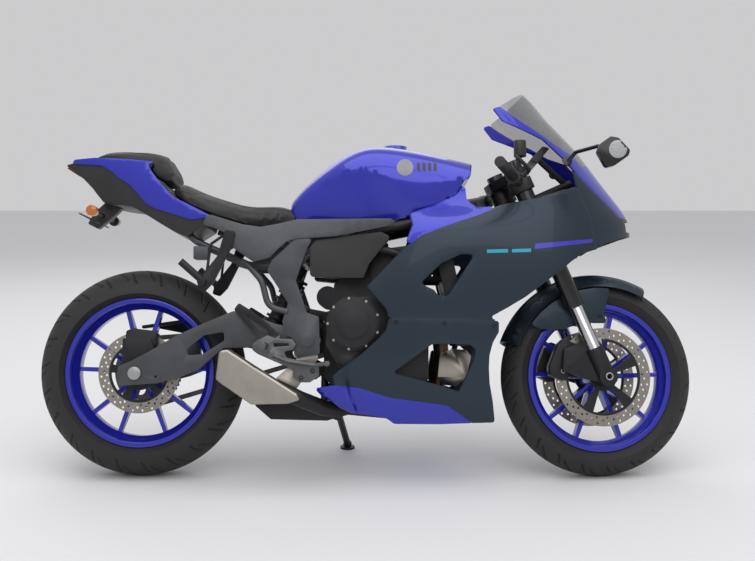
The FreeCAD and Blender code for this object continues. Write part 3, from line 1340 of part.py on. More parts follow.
SEAT_SECTION_SHARES = [
    (0.064, 0.880, (0.62, 0.865), (0.62, 0.83), (0.50, 0.72)),
    (0.090, 0.893, (0.86, 0.872), (0.88, 0.83), (0.70, 0.72)),
    (0.127, 0.871, (0.98, 0.850), (1.00, 0.81), (0.80, 0.72)),
    (0.175, 0.846, (1.00, 0.825), (1.02, 0.79), (0.80, 0.72)),
    (0.217, 0.829, (0.94, 0.808), (0.96, 0.78), (0.76, 0.72)),
    (0.259, 0.824, (0.80, 0.802), (0.82, 0.77), (0.64, 0.72)),
    (0.295, 0.827, (0.62, 0.804), (0.64, 0.77), (0.50, 0.72)),
    (0.325, 0.826, (0.46, 0.800), (0.48, 0.77), (0.40, 0.72)),
    (0.350, 0.820, (0.36, 0.795), (0.38, 0.77), (0.32, 0.72)),
]
SEAT_SIDE_SHARES = [
    (0.068, 0.862), (0.066, 0.92), (0.310, 0.92), (0.322, 0.836), (0.337, 0.806), (0.343, 0.782),
    (0.303, 0.762), (0.265, 0.752), (0.227, 0.760), (0.163, 0.787), (0.120, 0.811), (0.091, 0.834),
]


def make_rider_seat():
    body = scaled_sections(SEAT_SECTION_SHARES, size.seat_half_width, creased_section)
    seat = body.common(prism(SEAT_SIDE_SHARES))
    return seat.cut([make_subframe(), make_fuel_tank(), make_tail_cowls()])


PILLION_SECTION_SHARES = [
    (-0.112, 0.975, (0.30, 0.972), (0.32, 0.966), (0.30, 0.93)),
    (-0.080, 0.991, (0.50, 0.982), (0.54, 0.970), (0.50, 0.93)),
    (-0.016, 0.993, (0.66, 0.982), (0.70, 0.966), (0.62, 0.90)),
    (0.040, 0.984, (0.72, 0.970), (0.76, 0.950), (0.66, 0.88)),
    (0.075, 0.960, (0.70, 0.945), (0.74, 0.925), (0.64, 0.86)),
]
PILLION_SIDE_SHARES = [
    (-0.125, 0.966), (-0.125, 1.02), (0.050, 1.02), (0.058, 0.965), (0.067, 0.942), (0.073, 0.919),
    (0.069, 0.893), (0.054, 0.890), (0.036, 0.905), (0.022, 0.935), (0.030, 0.948), (-0.02, 0.958),
]


def make_pillion_seat():
    body = scaled_sections(PILLION_SECTION_SHARES, size.tail_half_width, creased_section)
    return body.common(prism(PILLION_SIDE_SHARES))


# Tail

TAIL_ROW_SHARES = [
    # up, and the half width at each of five places along
    (0.70, (0.20, 0.50, 0.72, 0.90, 0.98)),
    (0.78, (0.24, 0.58, 0.80, 0.95, 1.00)),
    (0.86, (0.28, 0.66, 0.86, 0.96, 1.00)),
    (0.93, (0.34, 0.70, 0.86, 0.92, 0.94)),
    (0.99, (0.34, 0.66, 0.80, 0.86, 0.88)),
]
TAIL_ALONG_SHARES = (-0.19, -0.10, 0.0, 0.09, 0.20)


def tail_face(inset):
    """The left outside face of the tail, moved inwards by the inset."""
    rows = []
    for up, widths in TAIL_ROW_SHARES:
        rows.append([at(along, up, share * size.tail_half_width - inset)
                     for along, share in zip(TAIL_ALONG_SHARES, widths)])
    return smooth_surface(rows)


TAIL_BLUE_SHARES = [
    (-0.149, 0.967), (-0.101, 0.970), (-0.02, 0.962), (0.036, 0.953), (0.017, 0.945), (0.027, 0.924),
    (0.049, 0.884), (0.078, 0.843), (0.098, 0.830), (0.161, 0.785), (0.146, 0.781), (0.114, 0.776),
    (0.037, 0.810), (0.015, 0.826), (-0.001, 0.853), (-0.021, 0.884), (-0.046, 0.906), (-0.065, 0.929),
    (-0.085, 0.945), (-0.129, 0.951), (-0.155, 0.955),
]
TAIL_UNDER_SHARES = [
    (-0.172, 0.952), (-0.129, 0.962), (-0.02, 0.958), (0.030, 0.948), (0.022, 0.935), (0.036, 0.905),
    (0.054, 0.890), (0.068, 0.862), (0.091, 0.834), (0.120, 0.811), (0.150, 0.790), (0.143, 0.760),
    (0.105, 0.725), (0.077, 0.741), (0.048, 0.765), (0.009, 0.799), (-0.017, 0.819), (-0.049, 0.824),
    (-0.081, 0.833), (-0.094, 0.855), (-0.107, 0.878), (-0.126, 0.905), (-0.146, 0.928),
]


def make_tail_cowls():
    """The blue tail panels, one each side."""
    skin = tail_face(0).extrude(Vector(0, -size.panel_wall, 0))
    return both(skin.common(prism(TAIL_BLUE_SHARES)))


def make_tail_undertray():
    """The dark tail body between the blue panels, from the seat to the tail's tip."""
    core = tail_face(size.panel_wall).extrude(Vector(0, -overrun, 0)).common(LEFT_HALF)
    half = core.common(prism(TAIL_UNDER_SHARES, size.tray_corner))
    tray = half.fuse(mirrored(half))
    return tray.cut([make_subframe(), make_rider_seat(), make_pillion_seat(), make_tail_lamp()])


def make_tail_lamp():
    """The tail lamp across the tail's tip, under its peak."""
    half = size.tail_half_width * 0.20
    return plate([(-0.176, 0.949), (-0.160, 0.951), (-0.140, 0.925), (-0.146, 0.922)], -half, half,
                 size.edge_corner)


def make_plate_holder():
    """The hanger under the tail, with the open bracket for a plate and two small indicators on stalks."""
    arm_half = size.tail_half_width * 0.13
    arm = plate([(-0.086, 0.846), (-0.050, 0.828), (-0.078, 0.790), (-0.106, 0.760), (-0.128, 0.776),
                 (-0.112, 0.812)], -arm_half, arm_half, size.holder_corner)
    plate_half = size.tail_half_width * 0.62
    slot_half = plate_half * 0.75
    bracket = plate([(-0.136, 0.799), (-0.134, 0.802), (-0.097, 0.775), (-0.099, 0.772)],
                    -plate_half, plate_half, 0)
    slot = plate([(-0.129, 0.810), (-0.110, 0.800), (-0.110, 0.760), (-0.129, 0.770)],
                 -slot_half, slot_half, 0)
    bracket = bracket.cut(slot)
    stalk_out = size.tail_half_width * 0.95
    stalk = across(-0.094, 0.800, size.lever_radius, -stalk_out, stalk_out)
    lamp_end = stalk_out + size.grip_radius * 2.2
    lamps = [across(-0.094, 0.800, size.grip_radius, side * stalk_out, side * lamp_end) for side in (-1, 1)]
    holder = arm.fuse([bracket, stalk] + lamps)
    return holder.cut([make_tail_undertray()])


# Side covers below the seat and tank

SIDE_ROW_SHARES = [
    (0.60, (0.86, 0.98, 1.00, 1.02, 1.06)),
    (0.70, (0.90, 0.98, 1.00, 1.02, 1.04)),
    (0.80, (0.94, 0.90, 0.84, 0.98, 1.00)),
]
SIDE_ALONG_SHARES = (0.08, 0.20, 0.32, 0.45, 0.60)
SIDE_COVER_SHARES = [
    (0.350, 0.776), (0.544, 0.776), (0.556, 0.765), (0.539, 0.754), (0.429, 0.724), (0.343, 0.716),
    (0.323, 0.708), (0.303, 0.684), (0.286, 0.659), (0.253, 0.647), (0.201, 0.695), (0.197, 0.730),
    (0.166, 0.750), (0.143, 0.758), (0.150, 0.788), (0.163, 0.787), (0.227, 0.760), (0.265, 0.752),
    (0.303, 0.762), (0.343, 0.776),
]
AIRBOX_COVER_SHARES = [
    (0.383, 0.712), (0.429, 0.722), (0.524, 0.738), (0.544, 0.723), (0.498, 0.642), (0.484, 0.590),
    (0.372, 0.606), (0.372, 0.690),
]


def side_face(inset):
    rows = []
    for up, widths in SIDE_ROW_SHARES:
        rows.append([at(along, up, share * SIDE_OUT - inset)
                     for along, share in zip(SIDE_ALONG_SHARES, widths)])
    return smooth_surface(rows)


SIDE_OUT = PLATE_OUTER + size.panel_wall


def make_side_covers():
    """The grey covers over the frame's sides, under the seat and tank."""
    skin = side_face(0).extrude(Vector(0, -size.panel_wall * 2, 0))
    panel = skin.common(prism(SIDE_COVER_SHARES, size.cover_corner))
    peg = across(0.30, 0.722, size.stay_radius, PLATE_INNER - size.frame_tube_radius, overrun / 2)
    inside = side_face(size.panel_wall).extrude(Vector(0, -overrun, 0))
    peg = peg.common(inside)
    return both(panel.fuse(peg).cut([make_subframe(), make_pivot_plates()]))


def make_airbox_covers():
    """The black covers over the intake trunks, between the frame's spar and the cylinders."""
    inner = size.cylinder_half_width
    block = plate(AIRBOX_COVER_SHARES, inner, overrun / 2)
    inside = side_face(size.panel_wall * 3).extrude(Vector(0, -overrun, 0))
    return both(block.common(inside).cut([make_engine_block(), MAIN_FRAME, make_pivot_plates()]))


# Rests, pedals, stand, shock and mirrors

HANGER_OUTLINE_SHARES = [
    (0.252, 0.402), (0.264, 0.416), (0.300, 0.419), (0.336, 0.416), (0.344, 0.400), (0.338, 0.386),
    (0.318, 0.380), (0.324, 0.362), (0.348, 0.354), (0.374, 0.356), (0.392, 0.342), (0.393, 0.308),
    (0.374, 0.289), (0.352, 0.289), (0.338, 0.304), (0.338, 0.328), (0.300, 0.350), (0.264, 0.372),
    (0.252, 0.384),
]
HANGER_SLOT_SHARES = [(0.296, 0.406), (0.328, 0.405), (0.330, 0.397), (0.298, 0.394)]
HEEL_OUTLINE_SHARES = [
    (0.212, 0.504), (0.222, 0.524), (0.250, 0.500), (0.285, 0.462), (0.312, 0.426), (0.304, 0.404),
    (0.272, 0.408), (0.238, 0.462),
]
HEEL_SLOT_SHARES = [(0.229, 0.502), (0.284, 0.444), (0.288, 0.424), (0.262, 0.446)]


def make_footrests():
    """The rider's footrest hangers with pegs, heel guards, the brake pedal and the shift lever."""
    inner = PLATE_OUTER
    outer = inner + size.hanger_thickness
    corner = size.lever_radius
    hanger = plate(HANGER_OUTLINE_SHARES, inner, outer, corner)
    hanger = hanger.cut(plate(HANGER_SLOT_SHARES, inner, outer, corner / 2))
    heel_inner = inner + size.hanger_thickness * 0.3
    heel_outer = outer - size.hanger_thickness * 0.2
    heel = plate(HEEL_OUTLINE_SHARES, heel_inner, heel_outer, corner)
    heel = heel.cut(plate(HEEL_SLOT_SHARES, heel_inner, heel_outer, corner / 2))
    peg = across(0.278, 0.397, size.peg_radius, outer, outer + size.peg_length)
    pedal = tube([at(0.290, 0.372, outer - size.lever_radius), at(0.325, 0.352, outer + size.lever_radius * 3),
                  at(0.385, 0.340, outer + size.lever_radius * 5),
                  at(0.412, 0.345, outer + size.lever_radius * 7)], size.lever_radius, size.peg_radius)
    toe = across(0.412, 0.345, size.lever_radius * 1.3, outer + size.lever_radius * 6,
                 outer + size.lever_radius * 12)
    boss = across(0.290, 0.372, size.peg_radius, inner, outer + size.lever_radius)
    rest = hanger.fuse([heel, peg, pedal, toe, boss])
    return both(rest).cut(make_pivot_plates())


def make_passenger_footrests():
    """The passenger's footrest hangers: a flat arm, two thin struts and a peg on each side."""
    out = SIDE_OUT
    inner = out - size.lever_radius
    outer = out + size.lever_radius
    arm = plate([(0.192, 0.742), (0.214, 0.738), (0.206, 0.690), (0.168, 0.584), (0.150, 0.558), (0.132, 0.566),
                 (0.140, 0.600), (0.176, 0.664)], inner, outer)
    strut = rod(at(0.150, 0.580, out), at(0.160, 0.700, out - size.hanger_thickness), size.lever_radius * 0.7)
    strut_top = rod(at(0.160, 0.700, out - size.hanger_thickness), at(0.200, 0.738, inner),
                    size.lever_radius * 0.7)
    peg = rod(at(0.145, 0.590, outer + size.peg_radius), at(0.100, 0.646, outer + size.peg_radius * 1.6),
              size.peg_radius)
    pivot = across(0.145, 0.586, size.peg_radius * 1.2, inner, outer + size.peg_radius * 2)
    whole = arm.fuse([strut, strut_top, peg, pivot])
    return both(whole.cut([SIDE_FILL, make_subframe()]))


SIDE_FILL = side_face(0).extrude(Vector(0, -size.panel_wall * 2, 0))
SIDE_FILL = SIDE_FILL.common(prism(SIDE_COVER_SHARES, size.cover_corner))


def make_shock():
    """The rear damper and its spring, lying behind the engine between the swingarm and the frame."""
    lower = at(0.275, 0.432)
    upper = at(0.350, 0.640)
    run = upper - lower
    body = rod(lower, upper, size.grip_radius)
    coils = []
    turns = 7
    for turn in range(turns):
        share = 0.24 + 0.52 * turn / (turns - 1)
        middle = lower + run * share
        coils.append(rod(middle - run * 0.018, middle + run * 0.018, size.grip_radius * 2.2))
    ends = [rod(lower + run * 0.16, lower + run * 0.20, size.grip_radius * 2.3),
            rod(lower + run * 0.80, lower + run * 0.84, size.grip_radius * 2.3)]
    stem = [rod(lower + run * 0.17, lower + run * 0.83, size.grip_radius * 1.65)]
    damper = body.fuse(coils + ends + stem)
    return damper.cut([make_swingarm(), MAIN_FRAME, make_engine_block()])


def make_mirrors():
    """The mirrors: a stalk from each side of the nose and a rounded housing turned towards the rider."""
    reach = size.mirror_reach
    stalk = tube([at(0.924, 0.950, MIRROR_ROOT), at(0.940, 0.978, MIRROR_ROOT + reach * 0.2),
                  at(0.975, 0.980, MIRROR_ROOT + reach * 0.75), at(0.992, 0.965, MIRROR_ROOT + reach)],
                 size.lever_radius, size.bar_radius)
    foot = rod(at(0.920, 0.945, MIRROR_ROOT * 0.75), at(0.925, 0.956, MIRROR_ROOT * 1.08), size.bar_radius * 1.4)
    head = plate([(0.998 + along, 0.955 + up) for along, up in MIRROR_HEAD_SHARES], MIRROR_ROOT + reach * 0.9,
                 MIRROR_ROOT + reach * 0.9 + size.bar_radius * 2.4, size.bar_radius)
    arm = stalk.fuse([foot, head])
    solid_nose = FAIRING_FACE.extrude(Vector(-size.panel_wall, -overrun, 0))
    return both(arm.cut(solid_nose))


MIRROR_ROOT = size.fairing_half_width * 0.54
MIRROR_HEAD_SHARES = [
    (-0.032, 0.000), (-0.026, 0.022), (-0.004, 0.044), (0.012, 0.040), (0.036, 0.004), (0.032, -0.012),
    (0.004, -0.040), (-0.014, -0.046),
]


def make_cockpit_panels():
    """The black panels inside the nose: side fillers, the dash board, and the stay's crosspiece."""
    filler = FAIRING_CORE.common(plate([(0.735, 0.790), (0.776, 0.815), (0.853, 0.835), (0.944, 0.879),
                                        (0.940, 0.93), (0.955, 0.89), (0.95, 0.86), (0.85, 0.822), (0.77, 0.80)],
                                       size.fairing_half_width * 0.71, overrun, size.screen_wall))
    dash = plate([(0.850, 0.969), (0.877, 1.009), (0.893, 1.004), (0.867, 0.959)], -DASH_HALF, DASH_HALF,
                 size.tray_corner)
    post = rod(STAY_TIP, at(0.877, 0.979), size.stay_radius)
    bar = rod(STAY_TIP - ACROSS * overrun, STAY_TIP + ACROSS * overrun, size.stay_radius)
    left_core = FAIRING_CORE.common(LEFT_HALF)
    bar = bar.common(left_core.fuse(mirrored(left_core)))
    whole = dash.fuse([post, bar])
    return Part.makeCompound([whole.cut(MAIN_FRAME), filler, mirrored(filler)])


DASH_HALF = size.fairing_half_width * 0.36


def make_headlamp():
    """The projector lamp in the nose's duct, on an arm from the stay."""
    lens = rod(at(1.030, LAMP_UP_SHARE), at(1.044, LAMP_UP_SHARE), MOUTH_HALF * 0.5)
    housing = rod(at(0.985, LAMP_UP_SHARE), at(1.030, LAMP_UP_SHARE), MOUTH_HALF * 0.75)
    arm = rod(STAY_TIP, at(0.99, LAMP_UP_SHARE), size.stay_radius)
    return housing.fuse([lens, arm]).cut([MAIN_FRAME, make_cockpit_panels(), make_nose_cowl()])


# The whole bike

def make_rear_tyre():
    return tyre(REAR_AXLE, size.rear_tyre_radius, size.rear_tyre_width, size.rear_rim_width)


def make_front_tyre():
    return tyre(FRONT_AXLE, size.front_tyre_radius, size.front_tyre_width, size.front_rim_width)


def make_rear_rim():
    return rim(REAR_AXLE, size.rear_rim_width, size.rear_hub_radius, size.rear_hub_width, [-size.rear_disc_out])


def make_front_rim():
    return rim(FRONT_AXLE, size.front_rim_width, size.front_hub_radius, size.front_hub_width,
               [-size.front_disc_out, size.front_disc_out])


def make_rear_disc():
    return brake_disc(REAR_AXLE, size.rear_disc_radius, -size.rear_disc_out, size.rear_hub_radius)


def make_front_disc(side):
    return brake_disc(FRONT_AXLE, size.front_disc_radius, side * size.front_disc_out, size.front_hub_radius)


def make_right_upper_fairing():
    return mirrored(make_upper_fairing())


def make_right_lower_fairing():
    return mirrored(make_lower_fairing())


def round_axle(name, centre, half_length, collars):
    """A hollow wheel axle with a flange at each end, from the sheet's own cells."""
    bar = document.addObject("Part::Cylinder", f"{name}_bar")
    bar.setExpression("Radius", "Sizes.axle_radius")
    bar.setExpression("Height", f"2 * ({half_length})")
    bore = document.addObject("Part::Cylinder", f"{name}_bore")
    bore.setExpression("Radius", "Sizes.axle_bore_radius")
    bore.setExpression("Height", f"2 * ({half_length})")
    solids = [bar]
    for number, (begin, end) in enumerate(collars):
        collar = document.addObject("Part::Cylinder", f"{name}_collar_{number}")
        collar.setExpression("Radius", "Sizes.axle_radius * 1.6")
        collar.setExpression("Height", f"abs(({end}) - ({begin}))")
        collar.setExpression("Placement.Base.z", f"({half_length}) + min({begin}; {end})")
        solids.append(collar)
    body = document.addObject("Part::MultiFuse", f"{name}_body")
    body.Shapes = solids
    axle = document.addObject("Part::Cut", name)
    axle.Base = body
    axle.Tool = bore
    axle.Label = name
    document.recompute()
    start = centre - ACROSS * (float(bar.Height) / 2)
    return axle, Placement(start, Rotation(Vector(0, 0, 1), ACROSS))


FIXED = "fixed"
STEERED = "steered"
PIECES = [
    ("rear_tyre", FIXED, make_rear_tyre),
    ("rear_rim", FIXED, make_rear_rim),
    ("rear_disc", FIXED, make_rear_disc),
    ("rear_sprocket", FIXED, make_rear_sprocket),
    ("front_tyre", STEERED, make_front_tyre),
    ("front_rim", STEERED, make_front_rim),
    ("front_disc_right", STEERED, lambda: make_front_disc(-1)),
    ("front_disc_left", STEERED, lambda: make_front_disc(1)),
    ("triple_clamps", STEERED, make_triple_clamps),
    ("fork_tubes", STEERED, make_fork_tubes),
    ("fork_feet", STEERED, make_fork_feet),
    ("clip_ons", STEERED, make_clip_ons),
    ("front_mudguard", STEERED, make_front_mudguard),
    ("front_calipers", STEERED, make_front_calipers),
    ("side_stand", FIXED, make_side_stand),
    ("main_frame", FIXED, lambda: MAIN_FRAME),
    ("subframe", FIXED, make_subframe),
    ("pivot_plates", FIXED, make_pivot_plates),
    ("engine_block", FIXED, make_engine_block),
    ("engine_covers", FIXED, make_engine_covers),
    ("front_sprocket", FIXED, make_front_sprocket),
    ("radiator", FIXED, make_radiator),
    ("exhaust_headers", FIXED, make_exhaust_headers),
    ("collector_box", FIXED, make_collector_box),
    ("muffler", FIXED, make_muffler),
    ("swingarm", FIXED, make_swingarm),
    ("rear_caliper", FIXED, make_rear_caliper),
    ("chain", FIXED, make_chain),
    ("chain_guard", FIXED, make_chain_guard),
    ("shock", FIXED, make_shock),
    ("footrests", FIXED, make_footrests),
    ("passenger_footrests", FIXED, make_passenger_footrests),
    ("fuel_tank", FIXED, make_fuel_tank),
    ("rider_seat", FIXED, make_rider_seat),
    ("pillion_seat", FIXED, make_pillion_seat),
    ("tail_cowls", FIXED, make_tail_cowls),
    ("tail_undertray", FIXED, make_tail_undertray),
    ("tail_lamp", FIXED, make_tail_lamp),
    ("plate_holder", FIXED, make_plate_holder),
    ("side_covers", FIXED, make_side_covers),
    ("airbox_covers", FIXED, make_airbox_covers),
    ("upper_fairing_left", FIXED, make_upper_fairing),
    ("upper_fairing_right", FIXED, make_right_upper_fairing),
    ("lower_fairing_left", FIXED, make_lower_fairing),
    ("lower_fairing_right", FIXED, make_right_lower_fairing),
    ("tank_side_cowls", FIXED, make_tank_side_cowls),
    ("nose_cowl", FIXED, make_nose_cowl),
    ("screen_surround", FIXED, make_screen_surround),
    ("windscreen", FIXED, make_windscreen),
    ("headlamp", FIXED, make_headlamp),
    ("belly_pan", FIXED, make_belly_pan),
    ("cockpit_panels", FIXED, make_cockpit_panels),
    ("mirrors", FIXED, make_mirrors),
]

TURNED = Placement(STEER_FOOT - STEER_TURN.multVec(STEER_FOOT), STEER_TURN)
upright = {FIXED: Placement(), STEERED: TURNED}
nodes = []
for label, group, make in PIECES:
    shape = make()
    solids = shape.Solids
    node = document.addObject("Part::Feature", label)
    node.Label = label
    node.Shape = solids[0] if len(solids) == 1 else Part.makeCompound(solids)
    nodes.append((node, STANDING * upright[group]))

rear_axle, place = round_axle(
    "rear_axle", REAR_AXLE, "Sizes.arm_inner_out + Sizes.arm_thickness",
    [("-Sizes.arm_inner_out + Sizes.hanger_thickness",
      "-Sizes.rear_disc_out - Sizes.disc_thickness / 2 - Sizes.bead_gap"),
     ("Sizes.chain_out + Sizes.sprocket_thickness / 2 + Sizes.bead_gap", "Sizes.arm_inner_out"),
     ("-Sizes.arm_inner_out - Sizes.arm_thickness",
      "-Sizes.arm_inner_out - Sizes.arm_thickness - Sizes.lever_radius"),
     ("Sizes.arm_inner_out + Sizes.arm_thickness",
      "Sizes.arm_inner_out + Sizes.arm_thickness + Sizes.lever_radius")])
nodes.append((rear_axle, STANDING * place))
front_axle, place = round_axle(
    "front_axle", FRONT_AXLE, "Sizes.fork_half_spacing + Sizes.fork_foot_radius",
    [("-Sizes.fork_half_spacing + Sizes.fork_foot_radius",
      "-Sizes.front_disc_out - Sizes.disc_thickness / 2 - Sizes.bead_gap"),
     ("Sizes.front_disc_out + Sizes.disc_thickness / 2 + Sizes.bead_gap",
      "Sizes.fork_half_spacing - Sizes.fork_foot_radius")])
nodes.append((front_axle, STANDING * TURNED * place))

for node, placement in nodes:
    node.Placement = placement

# The origin is under the middle of the standing bike's box
box = FreeCAD.BoundBox()
for node, placement in nodes:
    box.add(node.Shape.optimalBoundingBox(False, False))
CENTRING = Placement(Vector(-box.Center.x, -box.Center.y, 0), Rotation())
for node, placement in nodes:
    node.Placement = CENTRING * placement

document.recompute()
for item in document.Objects:
    if "Invalid" in item.State or "Error" in item.State:
        raise RuntimeError(f"{item.Label} did not build")
for node, placement in nodes:
    if node.Shape.isNull() or not node.Shape.isValid() or not node.Shape.Solids:
        raise RuntimeError(f"{node.Label} is not a sound solid")

os.makedirs("parts", exist_ok=True)
for node, placement in nodes:
    node.Shape.exportStep(f"parts/{node.Label}.step")
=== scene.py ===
import bpy
import json
import math
from mathutils import Matrix, Vector
from mathutils.bvhtree import BVHTree

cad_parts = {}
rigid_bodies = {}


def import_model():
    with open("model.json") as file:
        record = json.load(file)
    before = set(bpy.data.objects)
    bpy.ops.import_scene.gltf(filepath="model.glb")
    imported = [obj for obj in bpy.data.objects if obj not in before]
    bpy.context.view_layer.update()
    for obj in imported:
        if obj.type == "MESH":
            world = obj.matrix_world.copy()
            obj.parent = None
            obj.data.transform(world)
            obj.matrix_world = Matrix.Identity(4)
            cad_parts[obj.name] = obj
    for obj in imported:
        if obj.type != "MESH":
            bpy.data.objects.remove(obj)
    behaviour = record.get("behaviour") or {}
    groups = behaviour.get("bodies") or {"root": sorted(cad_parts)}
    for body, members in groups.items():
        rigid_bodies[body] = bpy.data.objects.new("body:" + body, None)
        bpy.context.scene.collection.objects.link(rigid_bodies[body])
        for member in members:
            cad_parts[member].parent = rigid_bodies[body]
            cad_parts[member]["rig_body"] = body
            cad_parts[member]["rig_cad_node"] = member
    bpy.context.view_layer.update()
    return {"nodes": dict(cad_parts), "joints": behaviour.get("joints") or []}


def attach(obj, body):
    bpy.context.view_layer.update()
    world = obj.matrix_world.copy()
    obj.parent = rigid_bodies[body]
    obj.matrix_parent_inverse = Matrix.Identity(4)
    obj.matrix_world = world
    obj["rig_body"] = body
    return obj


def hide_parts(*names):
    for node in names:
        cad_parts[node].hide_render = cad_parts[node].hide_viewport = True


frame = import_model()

# The whole motorcycle stands in metres where the frame puts it: +X ahead, +Y to its left, +Z up.
# It leans to its left on the stand with its steering turned, so the matrices UPRIGHT and TURNED take a place
# in the upright motorcycle to its place on the chassis or on the turned steering.
joint_of = {joint["name"]: joint for joint in frame["joints"]}
RAKE = math.radians(23.7)
REAR_AXLE_UP = 0.315
FRONT_AXLE_UP = 0.300
WHEELBASE = 1.4
TANK_HEIGHT = 1.0
rear_axle = Vector(joint_of["rear_wheel_spin"]["pos_m"])
own_left = Vector(joint_of["rear_wheel_spin"]["axis"])
steer_up = Vector(joint_of["steering"]["axis"])
steer_foot = Vector(joint_of["steering"]["pos_m"])
steer_ahead = own_left.cross(steer_up)
own_ahead = steer_ahead * math.cos(RAKE) - steer_up * math.sin(RAKE)
own_up = steer_ahead * math.sin(RAKE) + steer_up * math.cos(RAKE)
UPRIGHT = Matrix((own_ahead, own_left, own_up)).transposed().to_4x4()
UPRIGHT.translation = rear_axle - own_up * REAR_AXLE_UP
front_left = Vector(joint_of["front_wheel_spin"]["axis"])
turn_sign = 1 if steer_up.dot(own_left.cross(front_left)) > 0 else -1
TURNED = (Matrix.Translation(steer_foot)
          @ Matrix.Rotation(turn_sign * own_left.angle(front_left), 4, steer_up)
          @ Matrix.Translation(-steer_foot) @ UPRIGHT)
REAR_AXLE = Vector((0, 0, REAR_AXLE_UP))
FRONT_AXLE = Vector((WHEELBASE, 0, FRONT_AXLE_UP))


def at(along, up, out=0.0):
    """A point in the upright motorcycle: shares of the wheelbase and tank height, and metres to the left."""
    return Vector((along * WHEELBASE, out, up * TANK_HEIGHT))


# Camera, at the photograph's place: to the right of the motorcycle, at the height of its tank and looking
# slightly down. The lens is the focal length in pixels that fits the photograph.
CAMERA_AHEAD = 0.723
CAMERA_ASIDE = 3.360
CAMERA_UP = 1.037
CAMERA_DOWN = math.radians(7.45)
FOCAL_PIXELS = 1105
PHOTO_WIDTH = 755
PHOTO_HEIGHT = 561
SENSOR = 36.0
camera_place = Vector((rear_axle.x + CAMERA_AHEAD, rear_axle.y - CAMERA_ASIDE, CAMERA_UP))
bpy.ops.object.camera_add(location=camera_place, rotation=(math.pi / 2 - CAMERA_DOWN, 0, 0))
camera = bpy.context.object
camera.name = "camera"
camera.data.sensor_width = SENSOR
camera.data.lens = SENSOR * FOCAL_PIXELS / PHOTO_WIDTH
bpy.context.scene.camera = camera
bpy.context.scene.view_settings.view_transform = "Standard"


# Blue bodywork: the tank is pressed steel, the tail, belly pan, screen surround and tank cowls are moulded.
# All are sprayed in one deep blue with a fine flake under a clear coat. The rims are coated to match.
class Value:
    """One value of a material's node tree; plain arithmetic on it adds Math nodes."""

    def __init__(self, finish, socket):
        self.finish = finish
        self.socket = socket

    def math(self, operation, first, second):
        return self.finish.node("ShaderNodeMath", {"operation": operation}, {0: first, 1: second})

    def __add__(self, other):
        return self.math("ADD", self, other)

    __radd__ = __add__

    def __mul__(self, other):
        return self.math("MULTIPLY", self, other)

    __rmul__ = __mul__


class Finish:
    """A material: its shader's plain values are set once, and what varies comes from nodes."""

    def __init__(self, name, colour, roughness, metallic=0.0, coat=0.0):
        self.material = bpy.data.materials.new(name)
        self.material.use_nodes = True
        self.tree = self.material.node_tree
        self.shader = self.tree.nodes["Principled BSDF"]
        opaque = (*colour, 1.0)
        self.put("Base Color", opaque)
        self.put("Roughness", roughness)
        self.put("Metallic", metallic)
        self.put("Coat Weight", coat)
        self.material.diffuse_color = opaque

    def put(self, socket, value):
        self.feed(self.shader.inputs[socket], value)

    def feed(self, target, value):
        if isinstance(value, Value):
            self.tree.links.new(value.socket, target)
        else:
            target.default_value = value

    def node(self, kind, settings=None, inputs=None, out=0):
        made_node = self.tree.nodes.new(kind)
        for key, value in (settings or {}).items():
            setattr(made_node, key, value)
        for key, value in (inputs or {}).items():
            self.feed(made_node.inputs[key], value)
        return Value(self, made_node.outputs[out])

    def stretched(self, scale):
        """Object coordinates, stretched by a scale on each axis."""
        spot = self.node("ShaderNodeTexCoord", out="Object")
        return self.node("ShaderNodeMapping", {"vector_type": "TEXTURE"}, {"Vector": spot, "Scale": scale})

    def noise(self, scale, detail=3.0, place=None):
        place = place or self.node("ShaderNodeTexCoord", out="Object")
        return self.node("ShaderNodeTexNoise", None, {"Vector": place, "Scale": scale, "Detail": detail})

    def blend(self, share, first, second):
        """A colour between two others."""
        return self.node("ShaderNodeMix", {"data_type": "RGBA"}, {0: share, 6: first, 7: second}, out=2)

    def bump(self, height, distance):
        self.put("Normal", self.node("ShaderNodeBump", None, {"Height": height, "Distance": distance}))


def shade(colour, factor):
    """A colour made darker or paler."""
    return tuple(min(1.0, part * factor) for part in colour) + (1.0,)


FLAKE_SCALE = 900.0
FLAKE_SHARE = 0.12
PATCH_SCALE = 7.0
PAINT_SPREAD = 0.10


def painted(name, colour, roughness, metallic, coat):
    """A sprayed finish with a faint flake and a few duller patches."""
    paint = Finish(name, colour, roughness, metallic, coat)
    flakes = paint.noise(FLAKE_SCALE, detail=1.0)
    dark = shade(colour, 1 - FLAKE_SHARE)
    pale = shade(colour, 1 + FLAKE_SHARE)
    paint.put("Base Color", paint.blend(flakes, dark, pale))
    patches = paint.noise(PATCH_SCALE, detail=4.0)
    paint.put("Roughness", patches * PAINT_SPREAD + (roughness - PAINT_SPREAD / 2))
    return paint


def deselect():
    for other in bpy.context.selected_objects:
        other.select_set(False)


def only(thing):
    deselect()
    thing.select_set(True)
    bpy.context.view_layer.objects.active = thing


WELD = 0.00002
SMOOTH_ANGLE = math.radians(32)
made = {}


def copied(node, name):
    """A welded copy of a node's solid, whose own mesh is left alone."""
    thing = frame["nodes"][node].copy()
    thing.data = thing.data.copy()
    thing.name = name
    thing.parent = None
    thing.matrix_world = Matrix.Identity(4)
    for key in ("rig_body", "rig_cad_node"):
        if key in thing:
            del thing[key]
    bpy.context.scene.collection.objects.link(thing)
    only(thing)
    bpy.ops.object.mode_set(mode="EDIT")
    bpy.ops.mesh.select_all(action="SELECT")
    bpy.ops.mesh.remove_doubles(threshold=WELD)
    bpy.ops.object.mode_set(mode="OBJECT")
    return thing


